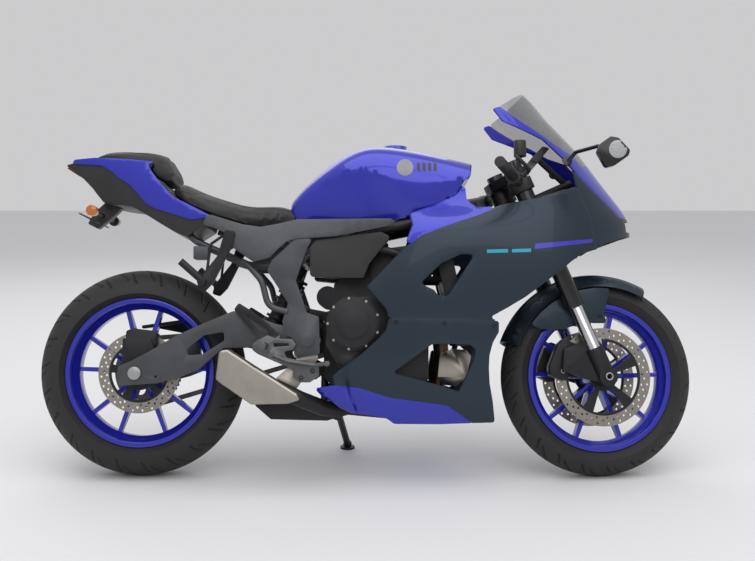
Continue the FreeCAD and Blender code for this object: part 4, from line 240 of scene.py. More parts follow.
def dressed(node, finish, bevel):
    """A welded copy of a rigid node with its edges broken by a small bevel, smoothed and in its finish."""
    thing = copied(node, f"{node}_dressed")
    if bevel:
        edges = thing.modifiers.new("broken edges", "BEVEL")
        edges.width = bevel
        edges.segments = 2
        edges.limit_method = "ANGLE"
        edges.angle_limit = SMOOTH_ANGLE
        bpy.ops.object.modifier_apply(modifier=edges.name)
    bpy.ops.object.shade_smooth_by_angle(angle=SMOOTH_ANGLE)
    thing.data.materials.clear()
    thing.data.materials.append(finish.material)
    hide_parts(node)
    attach(thing, frame["nodes"][node]["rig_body"])
    made[node] = thing


def recolour(node, finish, place, inside):
    """Gives a second finish to the faces whose middle, in the upright motorcycle, passes a test."""
    thing = made[node]
    thing.data.materials.append(finish.material)
    last = len(thing.data.materials) - 1
    back = place.inverted()
    for face in thing.data.polygons:
        if inside(back @ face.center):
            face.material_index = last


blue_paint = painted("blue_paint", (0.016, 0.020, 0.40), roughness=0.33, metallic=0.45, coat=0.7)
for node, bevel in (("fuel_tank", 0), ("tail_cowls", 0.0008), ("belly_pan", 0.001),
                    ("screen_surround", 0.0008), ("tank_side_cowls", 0.0008), ("rear_rim", 0.0015),
                    ("front_rim", 0.0015)):
    dressed(node, blue_paint, bevel)


# Slate bodywork: the moulded side fairings, nose and front mudguard, in a dark blue-grey satin paint.
slate_paint = painted("slate_paint", (0.018, 0.031, 0.046), roughness=0.40, metallic=0.55, coat=0.15)
for node in ("upper_fairing_left", "upper_fairing_right", "lower_fairing_left", "lower_fairing_right",
             "nose_cowl"):
    dressed(node, slate_paint, bevel=0.001)
dressed("front_mudguard", slate_paint, bevel=0.0006)


# Black plastics: the undertray, covers, cockpit panels, mirrors and bar parts are moulded with a fine grain
# and no paint.
GRAIN_SCALE = 1400.0
WEAR_SCALE = 22.0
WEAR_SPREAD = 0.22
WEAR_DARK = 0.8
WEAR_PALE = 1.5


def moulded(name, colour, roughness, grain=0.00012):
    """Moulded plastic or rubber: a fine leathery grain and slightly uneven gloss."""
    plastic = Finish(name, colour, roughness)
    grains = plastic.noise(GRAIN_SCALE, detail=2.0)
    wear = plastic.noise(WEAR_SCALE, detail=4.0)
    plastic.put("Roughness", wear * WEAR_SPREAD + (roughness - WEAR_SPREAD / 2))
    plastic.put("Base Color", plastic.blend(wear, shade(colour, WEAR_DARK), shade(colour, WEAR_PALE)))
    plastic.bump(grains, grain)
    return plastic


black_plastic = moulded("black_plastic", (0.012, 0.012, 0.013), roughness=0.48)
gloss_black = moulded("gloss_black", (0.008, 0.008, 0.009), roughness=0.22, grain=0.00002)
cup_plastic = moulded("cup_plastic", (0.62, 0.61, 0.56), roughness=0.40)
for node, bevel in (("tail_undertray", 0.001), ("plate_holder", 0.0006), ("airbox_covers", 0.003),
                    ("cockpit_panels", 0.001), ("chain_guard", 0.0008), ("clip_ons", 0.0008)):
    dressed(node, black_plastic, bevel)
dressed("mirrors", gloss_black, bevel=0.001)
# Where the front brake's fluid cup is looked for: right of the first value and between the two heights
CUP_SIDE = -0.05
CUP_LOW = 0.998
CUP_HIGH = 1.036
recolour("clip_ons", cup_plastic, TURNED, lambda p: p.y < CUP_SIDE and CUP_LOW < p.z < CUP_HIGH)


# Cast and welded metal: frame, swingarm, engine and clamps. The castings have a pebbled skin under satin
# black or grey paint.
PEBBLE_SCALE = 420.0
CAST_PATCH_SCALE = 18.0
CAST_DARK = 0.75
CAST_PALE = 1.3
CAST_SPREAD = 0.15
CAST_SMOOTHER = 0.07


def cast(name, colour, roughness, metallic, rough_skin=0.0002):
    """Cast and coated metal: a pebbled skin with darker and paler patches."""
    metal = Finish(name, colour, roughness, metallic)
    pebbles = metal.noise(PEBBLE_SCALE, detail=4.0)
    patches = metal.noise(CAST_PATCH_SCALE)
    metal.put("Base Color", metal.blend(patches, shade(colour, CAST_DARK), shade(colour, CAST_PALE)))
    metal.put("Roughness", pebbles * CAST_SPREAD + (roughness - CAST_SMOOTHER))
    metal.bump(pebbles, rough_skin)
    return metal


black_metal = cast("black_metal", (0.018, 0.018, 0.020), roughness=0.42, metallic=0.5, rough_skin=0.00008)
engine_black = cast("engine_black", (0.024, 0.024, 0.026), roughness=0.46, metallic=0.55)
grey_metal = cast("grey_metal", (0.070, 0.073, 0.080), roughness=0.42, metallic=0.60, rough_skin=0.00012)
bright_metal = cast("bright_metal", (0.40, 0.40, 0.41), roughness=0.36, metallic=0.95, rough_skin=0.00008)
for node, bevel in (("main_frame", 0.001), ("radiator", 0.001), ("collector_box", 0.002),
                    ("side_stand", 0.001), ("rear_caliper", 0.0015), ("front_calipers", 0.0015),
                    ("triple_clamps", 0.0012), ("shock", 0.001), ("passenger_footrests", 0.0008)):
    dressed(node, black_metal, bevel)
for node, bevel in (("subframe", 0.001), ("pivot_plates", 0.002), ("swingarm", 0.003),
                    ("side_covers", 0.001)):
    dressed(node, grey_metal, bevel)
for node, bevel in (("engine_block", 0.003), ("engine_covers", 0.002)):
    dressed(node, engine_black, bevel)
for node in ("front_axle", "rear_axle"):
    dressed(node, bright_metal, bevel=0.001)
hanger_metal = cast("hanger_metal", (0.125, 0.127, 0.132), roughness=0.40, metallic=0.75, rough_skin=0.00010)
dressed("footrests", hanger_metal, bevel=0.001)
HEEL_LOW = 0.424
recolour("footrests", black_metal, UPRIGHT, lambda p: p.z > HEEL_LOW)


# Machined steel: discs on black carriers, sprockets, chain, fork sliders, and the exhaust, whose headers are
# stained bronze by heat behind a guard like the muffler. The fork's tubes and feet are black.
STEEL_PATCH_SCALE = 25.0
STEEL_SPREAD = 0.18
STEEL_DARK = 0.82
STEEL_PALE = 1.12
LINE_DEPTH = 0.00003


def steel(name, colour, roughness, across=400.0, along=12.0):
    """Machined steel with fine lines, as many to the metre as is given, and a slightly uneven polish."""
    metal = Finish(name, colour, roughness, 1.0)
    lines = metal.noise(1.0, detail=4.0, place=metal.stretched((1 / across, 1 / along, 1 / across)))
    patches = metal.noise(STEEL_PATCH_SCALE)
    metal.put("Roughness", lines * STEEL_SPREAD + (roughness - STEEL_SPREAD / 2))
    metal.put("Base Color", metal.blend(patches, shade(colour, STEEL_DARK), shade(colour, STEEL_PALE)))
    metal.bump(lines, LINE_DEPTH)
    return metal


disc_steel = steel("disc_steel", (0.34, 0.31, 0.27), roughness=0.32)
muffler_steel = steel("muffler_steel", (0.40, 0.37, 0.325), roughness=0.38, across=60.0, along=300.0)
header_steel = steel("header_steel", (0.20, 0.135, 0.085), roughness=0.42, across=60.0, along=300.0)
chain_steel = steel("chain_steel", (0.16, 0.15, 0.13), roughness=0.42)
slider_steel = steel("slider_steel", (0.62, 0.62, 0.64), roughness=0.14)
for node in ("rear_disc", "front_disc_right", "front_disc_left"):
    dressed(node, disc_steel, bevel=0)
for node in ("rear_sprocket", "front_sprocket", "chain"):
    dressed(node, chain_steel, bevel=0)
dressed("muffler", muffler_steel, bevel=0.001)
dressed("exhaust_headers", header_steel, bevel=0)
GUARD_SIDE = -0.085
GUARD_LOW = 0.28
recolour("exhaust_headers", muffler_steel, UPRIGHT, lambda p: p.y < GUARD_SIDE and p.z > GUARD_LOW)
dressed("fork_tubes", gloss_black, bevel=0.0008)
dressed("fork_feet", black_metal, bevel=0.001)
FRONT_BRAKE_TRACK = 0.117
REAR_BRAKE_TRACK = 0.0905
for node in ("front_disc_right", "front_disc_left"):
    recolour(node, black_metal, TURNED, lambda p: math.hypot(p.x - FRONT_AXLE.x, p.z - FRONT_AXLE.z)
             < FRONT_BRAKE_TRACK)
recolour("rear_disc", black_metal, UPRIGHT, lambda p: math.hypot(p.x, p.z - REAR_AXLE_UP) < REAR_BRAKE_TRACK)
SLIDER_LOW = 0.41
recolour("fork_feet", slider_steel, TURNED, lambda p: p.z > SLIDER_LOW)


# Screen and lamps: the screen is smoke-tinted acrylic, the tail lamp a red lens, and the headlamp a clear
# projector lens in a black housing. The indicators on the plate holder are amber.
SMEAR_SCALE = 9.0
SMEAR_SPREAD = 0.06
GLAZED_ROUGHNESS = 0.05
GLAZED_COAT = 0.6


def glazed(name, colour, alpha):
    """A clear or tinted plastic or glass, faintly smeared."""
    glass = Finish(name, colour, GLAZED_ROUGHNESS, coat=GLAZED_COAT)
    smears = glass.noise(SMEAR_SCALE)
    glass.put("Roughness", smears * SMEAR_SPREAD + GLAZED_ROUGHNESS)
    glass.put("Alpha", alpha)
    return glass


screen_tint = glazed("screen_tint", (0.030, 0.034, 0.042), alpha=0.30)
red_lens = glazed("red_lens", (0.22, 0.006, 0.006), alpha=1.0)
clear_lens = glazed("clear_lens", (0.42, 0.44, 0.47), alpha=1.0)
amber_lens = glazed("amber_lens", (0.42, 0.12, 0.01), alpha=1.0)
dressed("windscreen", screen_tint, bevel=0.0005)
dressed("tail_lamp", red_lens, bevel=0.001)
dressed("headlamp", black_metal, bevel=0.001)
LENS_BEGIN = 1.030 * WHEELBASE
recolour("headlamp", clear_lens, UPRIGHT, lambda p: p.x > LENS_BEGIN)
INDICATOR_OUT = 0.127
recolour("plate_holder", amber_lens, UPRIGHT, lambda p: abs(p.y) > INDICATOR_OUT)


# Tyres: road tyres with a round crown, slanted grooves in it and smooth side walls. Each is the tyre's
# section spun round the axle, with the grooves pressed into its crown. Its radius is its axle's height.
RIM_WALL = 0.006
BEAD_GAP = 0.0003
BEAD_RADIUS = 0.218
FLANGE_RADIUS = 0.226
TYRE_WALL = 0.012
CROWN_TURN = math.radians(80)
CROWN_STEPS = 60
CROWN_MISS = WELD * 10
INNER_STEPS = 8
ROUND_STEPS = 480
TREAD_REPEATS = 22
GROOVE_DEPTH = 0.004
# Each groove: where it begins and ends across the crown, where it starts round the wheel, its slant and width
GROOVE_SHARES = ((0.07, 0.60, 0.0, 0.95, 0.085), (0.34, 0.74, 0.48, 0.55, 0.060))


def groove_depth(turn, lean):
    """How deep the tread is cut at a turn round the wheel and a lean across the crown."""
    side = 0.5 if lean < 0 else 0.0
    share = abs(lean) / CROWN_TURN
    for begin, end, start, slant, width in GROOVE_SHARES:
        phase = (turn * TREAD_REPEATS / (2 * math.pi) + side + start + slant * share) % 1.0
        if begin < share < end and phase < width:
            return GROOVE_DEPTH
    return 0.0


def road_tyre(node, place, centre, radius, width, rim_width, finish):
    """A tyre in place of its node, modelled about its own axle and then put in its place."""
    half = width / 2
    crown = radius - half
    bead_half = rim_width / 2 - RIM_WALL - BEAD_GAP
    inner_half = half - TYRE_WALL
    leans = [CROWN_TURN * (2 * step / CROWN_STEPS - 1) for step in range(CROWN_STEPS + 1)]
    section = [(crown + half * math.cos(lean), half * math.sin(lean)) for lean in leans]
    section += [(FLANGE_RADIUS + BEAD_GAP, bead_half), (BEAD_RADIUS + BEAD_GAP, bead_half),
                (BEAD_RADIUS + BEAD_GAP, bead_half - TYRE_WALL)]
    for step in range(INNER_STEPS + 1):
        lean = CROWN_TURN * (1 - 2 * step / INNER_STEPS)
        section.append((crown + inner_half * math.cos(lean), inner_half * math.sin(lean)))
    section += [(BEAD_RADIUS + BEAD_GAP, TYRE_WALL - bead_half), (BEAD_RADIUS + BEAD_GAP, -bead_half),
                (FLANGE_RADIUS + BEAD_GAP, -bead_half)]
    corners = [Vector((reach, out, 0)) for reach, out in section]
    links = [(number, (number + 1) % len(corners)) for number in range(len(corners))]
    mesh = bpy.data.meshes.new(f"{node}_tread")
    mesh.from_pydata(corners, links, [])
    thing = bpy.data.objects.new(f"{node}_tread", mesh)
    bpy.context.scene.collection.objects.link(thing)
    only(thing)
    bpy.ops.object.mode_set(mode="EDIT")
    bpy.ops.mesh.select_all(action="SELECT")
    bpy.ops.mesh.spin(steps=ROUND_STEPS, angle=2 * math.pi, center=(0, 0, 0), axis=(0, 1, 0))
    bpy.ops.mesh.select_all(action="SELECT")
    bpy.ops.mesh.remove_doubles(threshold=WELD)
    bpy.ops.mesh.normals_make_consistent(inside=False)
    bpy.ops.object.mode_set(mode="OBJECT")
    for vertex in mesh.vertices:
        reach = math.hypot(vertex.co.x, vertex.co.z)
        lean = math.atan2(vertex.co.y, reach - crown)
        on_crown = abs(math.hypot(vertex.co.y, reach - crown) - half) < CROWN_MISS
        if on_crown and abs(lean) <= CROWN_TURN:
            turn = math.atan2(vertex.co.z, vertex.co.x)
            depth = groove_depth(turn, lean)
            outwards = Vector((vertex.co.x / reach * math.cos(lean), math.sin(lean),
                               vertex.co.z / reach * math.cos(lean)))
            vertex.co -= outwards * depth
    mesh.transform(place @ Matrix.Translation(centre))
    bpy.ops.object.shade_smooth_by_angle(angle=SMOOTH_ANGLE)
    mesh.materials.append(finish.material)
    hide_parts(node)
    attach(thing, frame["nodes"][node]["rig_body"])
    made[node] = thing


tyre_rubber = moulded("tyre_rubber", (0.014, 0.014, 0.014), roughness=0.70, grain=0.0001)
road_tyre("rear_tyre", UPRIGHT, REAR_AXLE, REAR_AXLE_UP, width=0.180, rim_width=0.140, finish=tyre_rubber)
road_tyre("front_tyre", TURNED, FRONT_AXLE, FRONT_AXLE_UP, width=0.120, rim_width=0.089, finish=tyre_rubber)


# Seats: foam pads under a black grained cover, sewn along both sides. Each pad starts a little smaller than
# its solid and is swollen by a cloth simulation, with a cap on each point's move. Its seams are laid on after.
VOXEL = 0.006
SEAT_SHRINK = 0.003
SEAT_CAP = 0.004
SEAT_PRESSURE = 4
SEAT_FRAMES = 20
SEAT_QUALITY = 2
CELL_SCALE = 620.0
CELL_DEPTH = 0.00025
RUBBED_SCALE = 6.0
COVER_ROUGHNESS = 0.52
COVER_SPREAD = 0.2
SEAM_RADIUS = 0.0012
SEAM_STEPS = 12
ABOVE_SEATS = 1.2
# The seams of the right and left side: places along, as shares of the wheelbase, and out, in metres
RIDER_SEAM = ((0.090, 0.088), (0.175, 0.100), (0.259, 0.078), (0.330, 0.038))
PILLION_SEAM = ((-0.085, 0.048), (-0.016, 0.068), (0.045, 0.074))


def leather(name, colour):
    """A grained cover: small closed cells pressed into the skin, in places a little shinier."""
    cover = Finish(name, colour, COVER_ROUGHNESS)
    cells = cover.node("ShaderNodeTexVoronoi", None,
                       {"Vector": cover.node("ShaderNodeTexCoord", out="Object"), "Scale": CELL_SCALE})
    rubbed = cover.noise(RUBBED_SCALE, detail=2.0)
    cover.put("Roughness", rubbed * COVER_SPREAD + (COVER_ROUGHNESS - COVER_SPREAD / 2))
    cover.bump(cells, CELL_DEPTH)
    return cover


def seat_pad(node, finish):
    """A node's solid as a soft pad in its place: remeshed, shrunk, swollen and rounded."""
    pad = copied(node, f"{node}_pad")
    pad.data.remesh_voxel_size = VOXEL
    bpy.ops.object.voxel_remesh()
    for vertex in pad.data.vertices:
        vertex.co -= vertex.normal * SEAT_SHRINK
    start = [vertex.co.copy() for vertex in pad.data.vertices]
    cloth = pad.modifiers.new("foam", "CLOTH")
    cloth.settings.quality = SEAT_QUALITY
    cloth.settings.use_pressure = True
    cloth.settings.uniform_pressure_force = SEAT_PRESSURE
    cloth.settings.effector_weights.gravity = 0
    for number in range(1, SEAT_FRAMES + 1):
        bpy.context.scene.frame_set(number)
    bpy.ops.object.modifier_apply(modifier=cloth.name)
    for vertex, begin in zip(pad.data.vertices, start):
        move = vertex.co - begin
        if move.length > SEAT_CAP:
            vertex.co = begin + move * (SEAT_CAP / move.length)
    bpy.context.scene.frame_set(1)
    rounder = pad.modifiers.new("rounder", "SUBSURF")
    rounder.levels = 1
    rounder.render_levels = 1
    bpy.ops.object.modifier_apply(modifier=rounder.name)
    bpy.ops.object.shade_smooth()
    pad.data.materials.clear()
    pad.data.materials.append(finish.material)
    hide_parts(node)
    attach(pad, "chassis")
    made[node] = pad
    return pad


def tree_of(thing):
    return BVHTree.FromObject(thing, bpy.context.evaluated_depsgraph_get())


def wire(name, points, radius, finish, body):
    """A thin round strand through world points, as a closed mesh."""
    deselect()
    path = bpy.data.curves.new(name, "CURVE")
    path.dimensions = "3D"
    path.bevel_depth = radius
    path.use_fill_caps = True
    spline = path.splines.new("POLY")
    spline.points.add(len(points) - 1)
    for spot, point in zip(spline.points, points):
        spot.co = (*point, 1)
    thing = bpy.data.objects.new(name, path)
    bpy.context.scene.collection.objects.link(thing)
    only(thing)
    bpy.ops.object.convert(target="MESH")
    thing = bpy.context.object
    bpy.ops.object.shade_smooth()
    thing.data.materials.append(finish.material)
    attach(thing, body)


def seam(name, pad, run, side, finish):
    """A sewn seam laid on a pad from above, on the right side (-1) or the left (1)."""
    tree = tree_of(pad)
    points = []
    for (begin, begin_out), (end, end_out) in zip(run, run[1:]):
        for step in range(SEAM_STEPS):
            share = step / SEAM_STEPS
            out = side * (begin_out + (end_out - begin_out) * share)
            above = UPRIGHT @ at(begin + (end - begin) * share, ABOVE_SEATS, out)
            hit = tree.ray_cast(above, -own_up)[0]
            if hit:
                points.append(hit)
    if len(points) > 2:
        wire(name, points, SEAM_RADIUS, finish, "chassis")


seat_cover = leather("seat_cover", (0.013, 0.013, 0.014))
thread = moulded("thread", (0.03, 0.03, 0.032), roughness=0.60)
rider_pad = seat_pad("rider_seat", seat_cover)
pillion_pad = seat_pad("pillion_seat", seat_cover)
for side, word in ((-1, "right"), (1, "left")):
    seam(f"rider_seam_{word}", rider_pad, RIDER_SEAM, side, thread)
    seam(f"pillion_seam_{word}", pillion_pad, PILLION_SEAM, side, thread)


# Markings: two plain cyan dashes and a violet band on each side fairing, a blank roundel, four slanted dark
# films on each side of the tank that paint the shade inside its vent slots, and the glass of the mirrors. All
# are thin films laid on the skin where the photograph shows them, and mirrored to the left side.
FILM = 0.0004
ROUNDEL_THICKNESS = 0.0012


def sight(across, down):
    """The direction from the camera through a pixel of the photograph."""
    look = Vector(((across - PHOTO_WIDTH / 2) / FOCAL_PIXELS, (PHOTO_HEIGHT / 2 - down) / FOCAL_PIXELS, -1))
    return (camera.rotation_euler.to_matrix() @ look).normalized()


def to_camera(normal):
    """A skin's normal, turned to the motorcycle's right, where the camera is."""
    return normal if normal.dot(own_left) < 0 else -normal


def film(name, node, pixels, faces, finish, thickness=FILM):
    """A thin film through pixel places on a node's skin, and its mirror image."""
    tree = tree_of(made[node])
    back = UPRIGHT.inverted()
    hits = [tree.ray_cast(camera_place, sight(*pixel)) for pixel in pixels]
    faces = [face for face in faces if all(hits[number][0] for number in face)]
    if not faces:
        return
    used = sorted({number for face in faces for number in face})
    order = {number: place for place, number in enumerate(used)}
    faces = [tuple(order[number] for number in face) for face in faces]
    for side, word in ((1, "right"), (-1, "left")):
        corners = []
        for number in used:
            place, normal = hits[number][:2]
            spot = back @ (place + to_camera(normal) * FILM / 2)
            corners.append(UPRIGHT @ Vector((spot.x, side * spot.y, spot.z)))
        mesh = bpy.data.meshes.new(f"{name}_{word}")
        mesh.from_pydata(corners, [], faces)
        thing = bpy.data.objects.new(f"{name}_{word}", mesh)
        bpy.context.scene.collection.objects.link(thing)
        only(thing)
        bpy.ops.object.mode_set(mode="EDIT")
        bpy.ops.mesh.select_all(action="SELECT")
        bpy.ops.mesh.normals_make_consistent(inside=False)
        bpy.ops.object.mode_set(mode="OBJECT")
        skin = thing.modifiers.new("thickness", "SOLIDIFY")
        skin.thickness = thickness
        skin.offset = 0
        bpy.ops.object.modifier_apply(modifier=skin.name)
        bpy.ops.object.shade_smooth_by_angle(angle=SMOOTH_ANGLE)
        mesh.materials.append(finish.material)
        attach(thing, "chassis")


def band(name, node, left_end, right_end, finish):
    """A four-sided film between two upright ends, each given as across, top and bottom."""
    steps = 16
    rows = 3
    pixels = []
    for step in range(steps + 1):
        share = step / steps
        across, top, bottom = (a + (b - a) * share for a, b in zip(left_end, right_end))
        pixels += [(across, top + (bottom - top) * row / rows) for row in range(rows + 1)]
    span = rows + 1
    faces = [(s * span + r, (s + 1) * span + r, (s + 1) * span + r + 1, s * span + r + 1)
             for s in range(steps) for r in range(rows)]
    film(name, node, pixels, faces, finish)


def round_film(name, node, centre, reach, finish, thickness):
    """A round film about a pixel place."""
    rings = 4
    points = 32
    pixels = [centre]
    for ring in range(1, rings + 1):
        for point in range(points):
            turn = 2 * math.pi * point / points
            pixels.append((centre[0] + reach * ring / rings * math.cos(turn),
                           centre[1] + reach * ring / rings * math.sin(turn)))
    faces = [(0, 1 + point, 1 + (point + 1) % points) for point in range(points)]
    for ring in range(rings - 1):
        for point in range(points):
            begin = 1 + ring * points
            after = (point + 1) % points
            faces.append((begin + point, begin + points + point, begin + points + after, begin + after))
    film(name, node, pixels, faces, finish, thickness)


cyan_film = painted("cyan_film", (0.010, 0.30, 0.42), roughness=0.35, metallic=0.0, coat=0.3)
violet_film = painted("violet_film", (0.040, 0.030, 0.42), roughness=0.35, metallic=0.2, coat=0.3)
ROUNDEL_PIXEL = (405, 167.5)
ROUNDEL_REACH_PIXELS = 8.3
MIRROR_PIXEL = (618, 149)
MIRROR_REACH_PIXELS = 9
DASH_PIXELS = (((487, 249.5, 253), (508, 249.0, 252.5)), ((512, 249.0, 252.5), (531, 248.5, 252)))
BAND_PIXELS = ((535, 243.5, 249.0), (606, 238.0, 241.0))
VENT_PIXELS = (417, 422.5, 428, 433.5)
VENT_TOP_PIXEL = 162
VENT_BOTTOM_PIXEL = 171
VENT_REACH_PIXELS = 3.2
VENT_DROP_PIXELS = 1.5
VENT_SLANT_PIXELS = 1
for number, (begin, end) in enumerate(DASH_PIXELS):
    band(f"cyan_dash_{number}", "upper_fairing_right", begin, end, cyan_film)
band("violet_band", "upper_fairing_right", *BAND_PIXELS, violet_film)
roundel_metal = cast("roundel_metal", (0.20, 0.20, 0.21), roughness=0.38, metallic=0.6, rough_skin=0.00002)
mirror_glass = steel("mirror_glass", (0.48, 0.49, 0.50), roughness=0.12)
round_film("roundel", "fuel_tank", ROUNDEL_PIXEL, ROUNDEL_REACH_PIXELS, roundel_metal, ROUNDEL_THICKNESS)
round_film("mirror_glass", "mirrors", MIRROR_PIXEL, MIRROR_REACH_PIXELS, mirror_glass, FILM)
# Each vent slot is a flat gloss black film on the tank's skin: painted shade where the slot's hollow would be.
for number, across in enumerate(VENT_PIXELS):
    rear_end = (across, VENT_TOP_PIXEL, VENT_BOTTOM_PIXEL - VENT_SLANT_PIXELS)
    front_end = (across + VENT_REACH_PIXELS, VENT_TOP_PIXEL + VENT_DROP_PIXELS,
                 VENT_BOTTOM_PIXEL + VENT_SLANT_PIXELS)
    band(f"tank_vent_{number}", "fuel_tank", rear_end, front_end, gloss_black)


# Bolts: socket screws with a round recessed head hold the covers, fairings and brakes. One head is modelled
# and copied to each place, and the heads of one group are joined.
HEAD_SIDES = 20
HEAD_RADIUS = 0.005
HEAD_HEIGHT = 0.004
HEAD_RIM_SHARE = 0.45
RECESS_SHARE = 0.6
HEAD_EDGE_SHARE = 0.12


def settle(thing):
    """Applies every modifier and the object's place, so that its shape is all in its mesh."""
    only(thing)
    for modifier in list(thing.modifiers):
        bpy.ops.object.modifier_apply(modifier=modifier.name)
    bpy.ops.object.transform_apply(location=True, rotation=True, scale=True)


def model_head():
    """One screw head on the ground plane, with a recess in its top."""
    deselect()
    bpy.ops.mesh.primitive_cylinder_add(vertices=HEAD_SIDES, radius=HEAD_RADIUS, depth=HEAD_HEIGHT)
    head = bpy.context.object
    only(head)
    bpy.ops.object.mode_set(mode="EDIT")
    bpy.ops.mesh.select_mode(type="FACE")
    bpy.ops.mesh.select_all(action="DESELECT")
    bpy.ops.object.mode_set(mode="OBJECT")
    top = max(head.data.polygons, key=lambda face: face.center.z)
    top.select = True
    bpy.ops.object.mode_set(mode="EDIT")
    bpy.ops.mesh.inset(thickness=HEAD_RADIUS * HEAD_RIM_SHARE)
    bpy.ops.mesh.extrude_region_move(TRANSFORM_OT_translate={"value": (0, 0, -HEAD_HEIGHT * RECESS_SHARE)})
    bpy.ops.object.mode_set(mode="OBJECT")
    edges = head.modifiers.new("broken edges", "BEVEL")
    edges.width = HEAD_HEIGHT * HEAD_EDGE_SHARE
    edges.segments = 2
    edges.limit_method = "ANGLE"
    edges.angle_limit = SMOOTH_ANGLE
    settle(head)
    bpy.ops.object.shade_smooth_by_angle(angle=SMOOTH_ANGLE)
    return head


def bolts(name, places, finish, body):
    """Screw heads as one piece; each place is a world point, the way the head faces and its radius."""
    heads = []
    for point, facing, radius in places:
        head = head_mould.copy()
        head.data = head_mould.data.copy()
        bpy.context.scene.collection.objects.link(head)
        grow = Matrix.Scale(radius / HEAD_RADIUS, 4)
        turn = facing.to_track_quat("Z", "Y").to_matrix().to_4x4()
        head.data.transform(Matrix.Translation(point) @ turn @ grow)
        heads.append(head)
    deselect()
    for head in heads:
        head.select_set(True)
    bpy.context.view_layer.objects.active = heads[0]
    if len(heads) > 1:
        bpy.ops.object.join()
    group = bpy.context.view_layer.objects.active
    group.name = name
    group.data.materials.clear()
    group.data.materials.append(finish.material)
    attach(group, body)


def seen_bolts(name, node, pixels, radius, finish, body="chassis"):
    """Bolts where the photograph shows them on a node's skin."""
    tree = tree_of(made[node])
    places = []
    for pixel in pixels:
        place, normal = tree.ray_cast(camera_place, sight(*pixel))[:2]
        if place:
            places.append((place, to_camera(normal), radius))
    if places:
        bolts(name, places, finish, body)


def ring_bolts(name, centre, ring, count, out, radius, finish):
    """Bolts of the chassis in a ring about an axis across it, facing away from its middle."""
    side = 1 if out > 0 else -1
    facing = (UPRIGHT.to_3x3() @ Vector((0, side, 0))).normalized()
    places = []
    for number in range(count):
        turn = 2 * math.pi * (number + 0.5) / count
        spot = Vector((centre.x + ring * math.cos(turn), out, centre.z + ring * math.sin(turn)))
        places.append((UPRIGHT @ spot, facing, radius))
    bolts(name, places, finish, "chassis")


head_mould = model_head()
FAIRING_BOLT_PIXELS = ((396, 322), (444.6, 323), (494.6, 325.7))
MUDGUARD_BOLT_PIXELS = ((600, 316), (607, 332))
CALIPER_BOLT_PIXELS = ((566, 357), (563, 371))
HANGER_BOLT_PIXELS = ((312.5, 371), (301, 378))
KNOB_PIXELS = ((442.3, 285.7),)
PANEL_HEAD = 0.006
BRACKET_HEAD = 0.007
COVER_HEAD = 0.004
KNOB_RADIUS = 0.020
CLUTCH = at(0.465, 0.463)
CLUTCH_RING = 0.076
CLUTCH_BOLTS = 9
CLUTCH_FACE_OUT = -0.163
GENERATOR = at(0.53, 0.42)
GENERATOR_RING = 0.072
GENERATOR_BOLTS = 8
GENERATOR_FACE_OUT = 0.1585
seen_bolts("fairing_bolts", "lower_fairing_right", FAIRING_BOLT_PIXELS, PANEL_HEAD, black_metal)
seen_bolts("mudguard_bolts", "front_mudguard", MUDGUARD_BOLT_PIXELS, PANEL_HEAD, black_metal, "steering")
seen_bolts("caliper_bolts", "front_calipers", CALIPER_BOLT_PIXELS, BRACKET_HEAD, bright_metal, "steering")
seen_bolts("hanger_bolts", "footrests", HANGER_BOLT_PIXELS, BRACKET_HEAD, black_metal)
seen_bolts("frame_knob", "main_frame", KNOB_PIXELS, KNOB_RADIUS, black_plastic)
ring_bolts("clutch_bolts", CLUTCH, CLUTCH_RING, CLUTCH_BOLTS, CLUTCH_FACE_OUT, COVER_HEAD, bright_metal)
ring_bolts("generator_bolts", GENERATOR, GENERATOR_RING, GENERATOR_BOLTS, GENERATOR_FACE_OUT, COVER_HEAD,
           bright_metal)
bpy.data.objects.remove(head_mould)


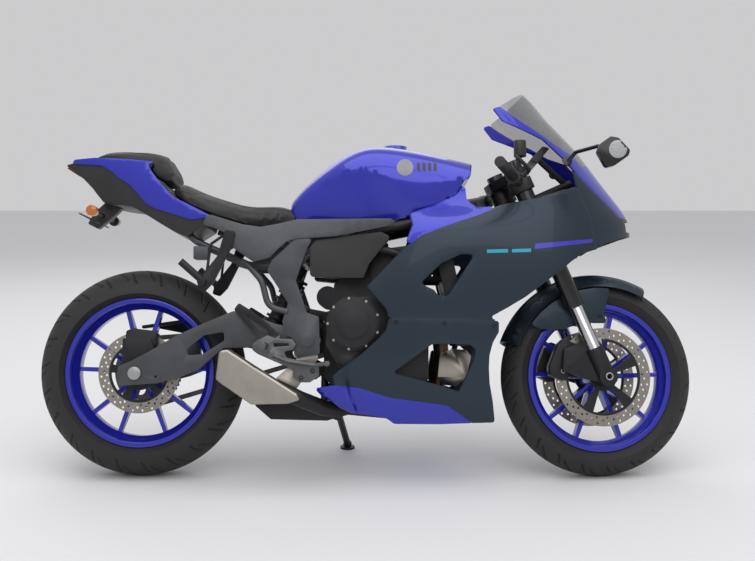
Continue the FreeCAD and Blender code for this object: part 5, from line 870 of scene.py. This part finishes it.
# Floor and light: a plain pale floor before a pale background, and large soft lamps above and on both sides.
# The camera, mirror-like surfaces and glass see the background at a strength of 1, so that metal shows it.
FLOOR_SIZE = 24.0
FLOOR_ROUGHNESS = 0.75
FLOOR_SPREAD = 0.1
BACKGROUND = (0.60, 0.60, 0.61)
SEEN_LEVEL = 1.0
DIFFUSE_LEVEL = 1.1
deselect()
bpy.ops.mesh.primitive_plane_add(size=FLOOR_SIZE, location=(0, 0, 0))
floor = bpy.context.object
floor.name = "floor"
floor_finish = Finish("floor_paint", (0.70, 0.70, 0.71), FLOOR_ROUGHNESS)
floor_grain = floor_finish.noise(3.0, detail=4.0)
floor_finish.put("Roughness", floor_grain * FLOOR_SPREAD + (FLOOR_ROUGHNESS - FLOOR_SPREAD / 2))
floor.data.materials.append(floor_finish.material)

world = bpy.data.worlds.new("studio")
world.use_nodes = True
bpy.context.scene.world = world
tree = world.node_tree
background = tree.nodes["Background"]
background.inputs["Color"].default_value = (*BACKGROUND, 1)
ray = tree.nodes.new("ShaderNodeLightPath")
seen = tree.nodes.new("ShaderNodeMath")
seen.operation = "MAXIMUM"
tree.links.new(ray.outputs["Is Camera Ray"], seen.inputs[0])
tree.links.new(ray.outputs["Is Glossy Ray"], seen.inputs[1])
seen_through = tree.nodes.new("ShaderNodeMath")
seen_through.operation = "MAXIMUM"
tree.links.new(seen.outputs[0], seen_through.inputs[0])
tree.links.new(ray.outputs["Is Transmission Ray"], seen_through.inputs[1])
level = tree.nodes.new("ShaderNodeMix")
level.inputs[2].default_value = DIFFUSE_LEVEL
level.inputs[3].default_value = SEEN_LEVEL
tree.links.new(seen_through.outputs[0], level.inputs[0])
tree.links.new(level.outputs[0], background.inputs["Strength"])


def lamp(name, place, aim, width, height, watts):
    bpy.ops.object.light_add(type="AREA", location=place)
    light = bpy.context.object
    light.name = name
    light.data.shape = "RECTANGLE"
    light.data.size = width
    light.data.size_y = height
    light.data.energy = watts
    light.rotation_euler = (Vector(aim) - Vector(place)).to_track_quat("-Z", "Y").to_euler()


lamp("lamp_over", place=(0.0, -0.8, 4.4), aim=(0, 0, 0.5), width=6.0, height=3.6, watts=110)
lamp("lamp_camera_side", place=(0.6, -5.2, 4.6), aim=(0, 0, 0.6), width=6.0, height=3.0, watts=90)
lamp("lamp_far_side", place=(-1.2, 4.2, 3.6), aim=(0, 0, 0.6), width=5.0, height=2.6, watts=50)
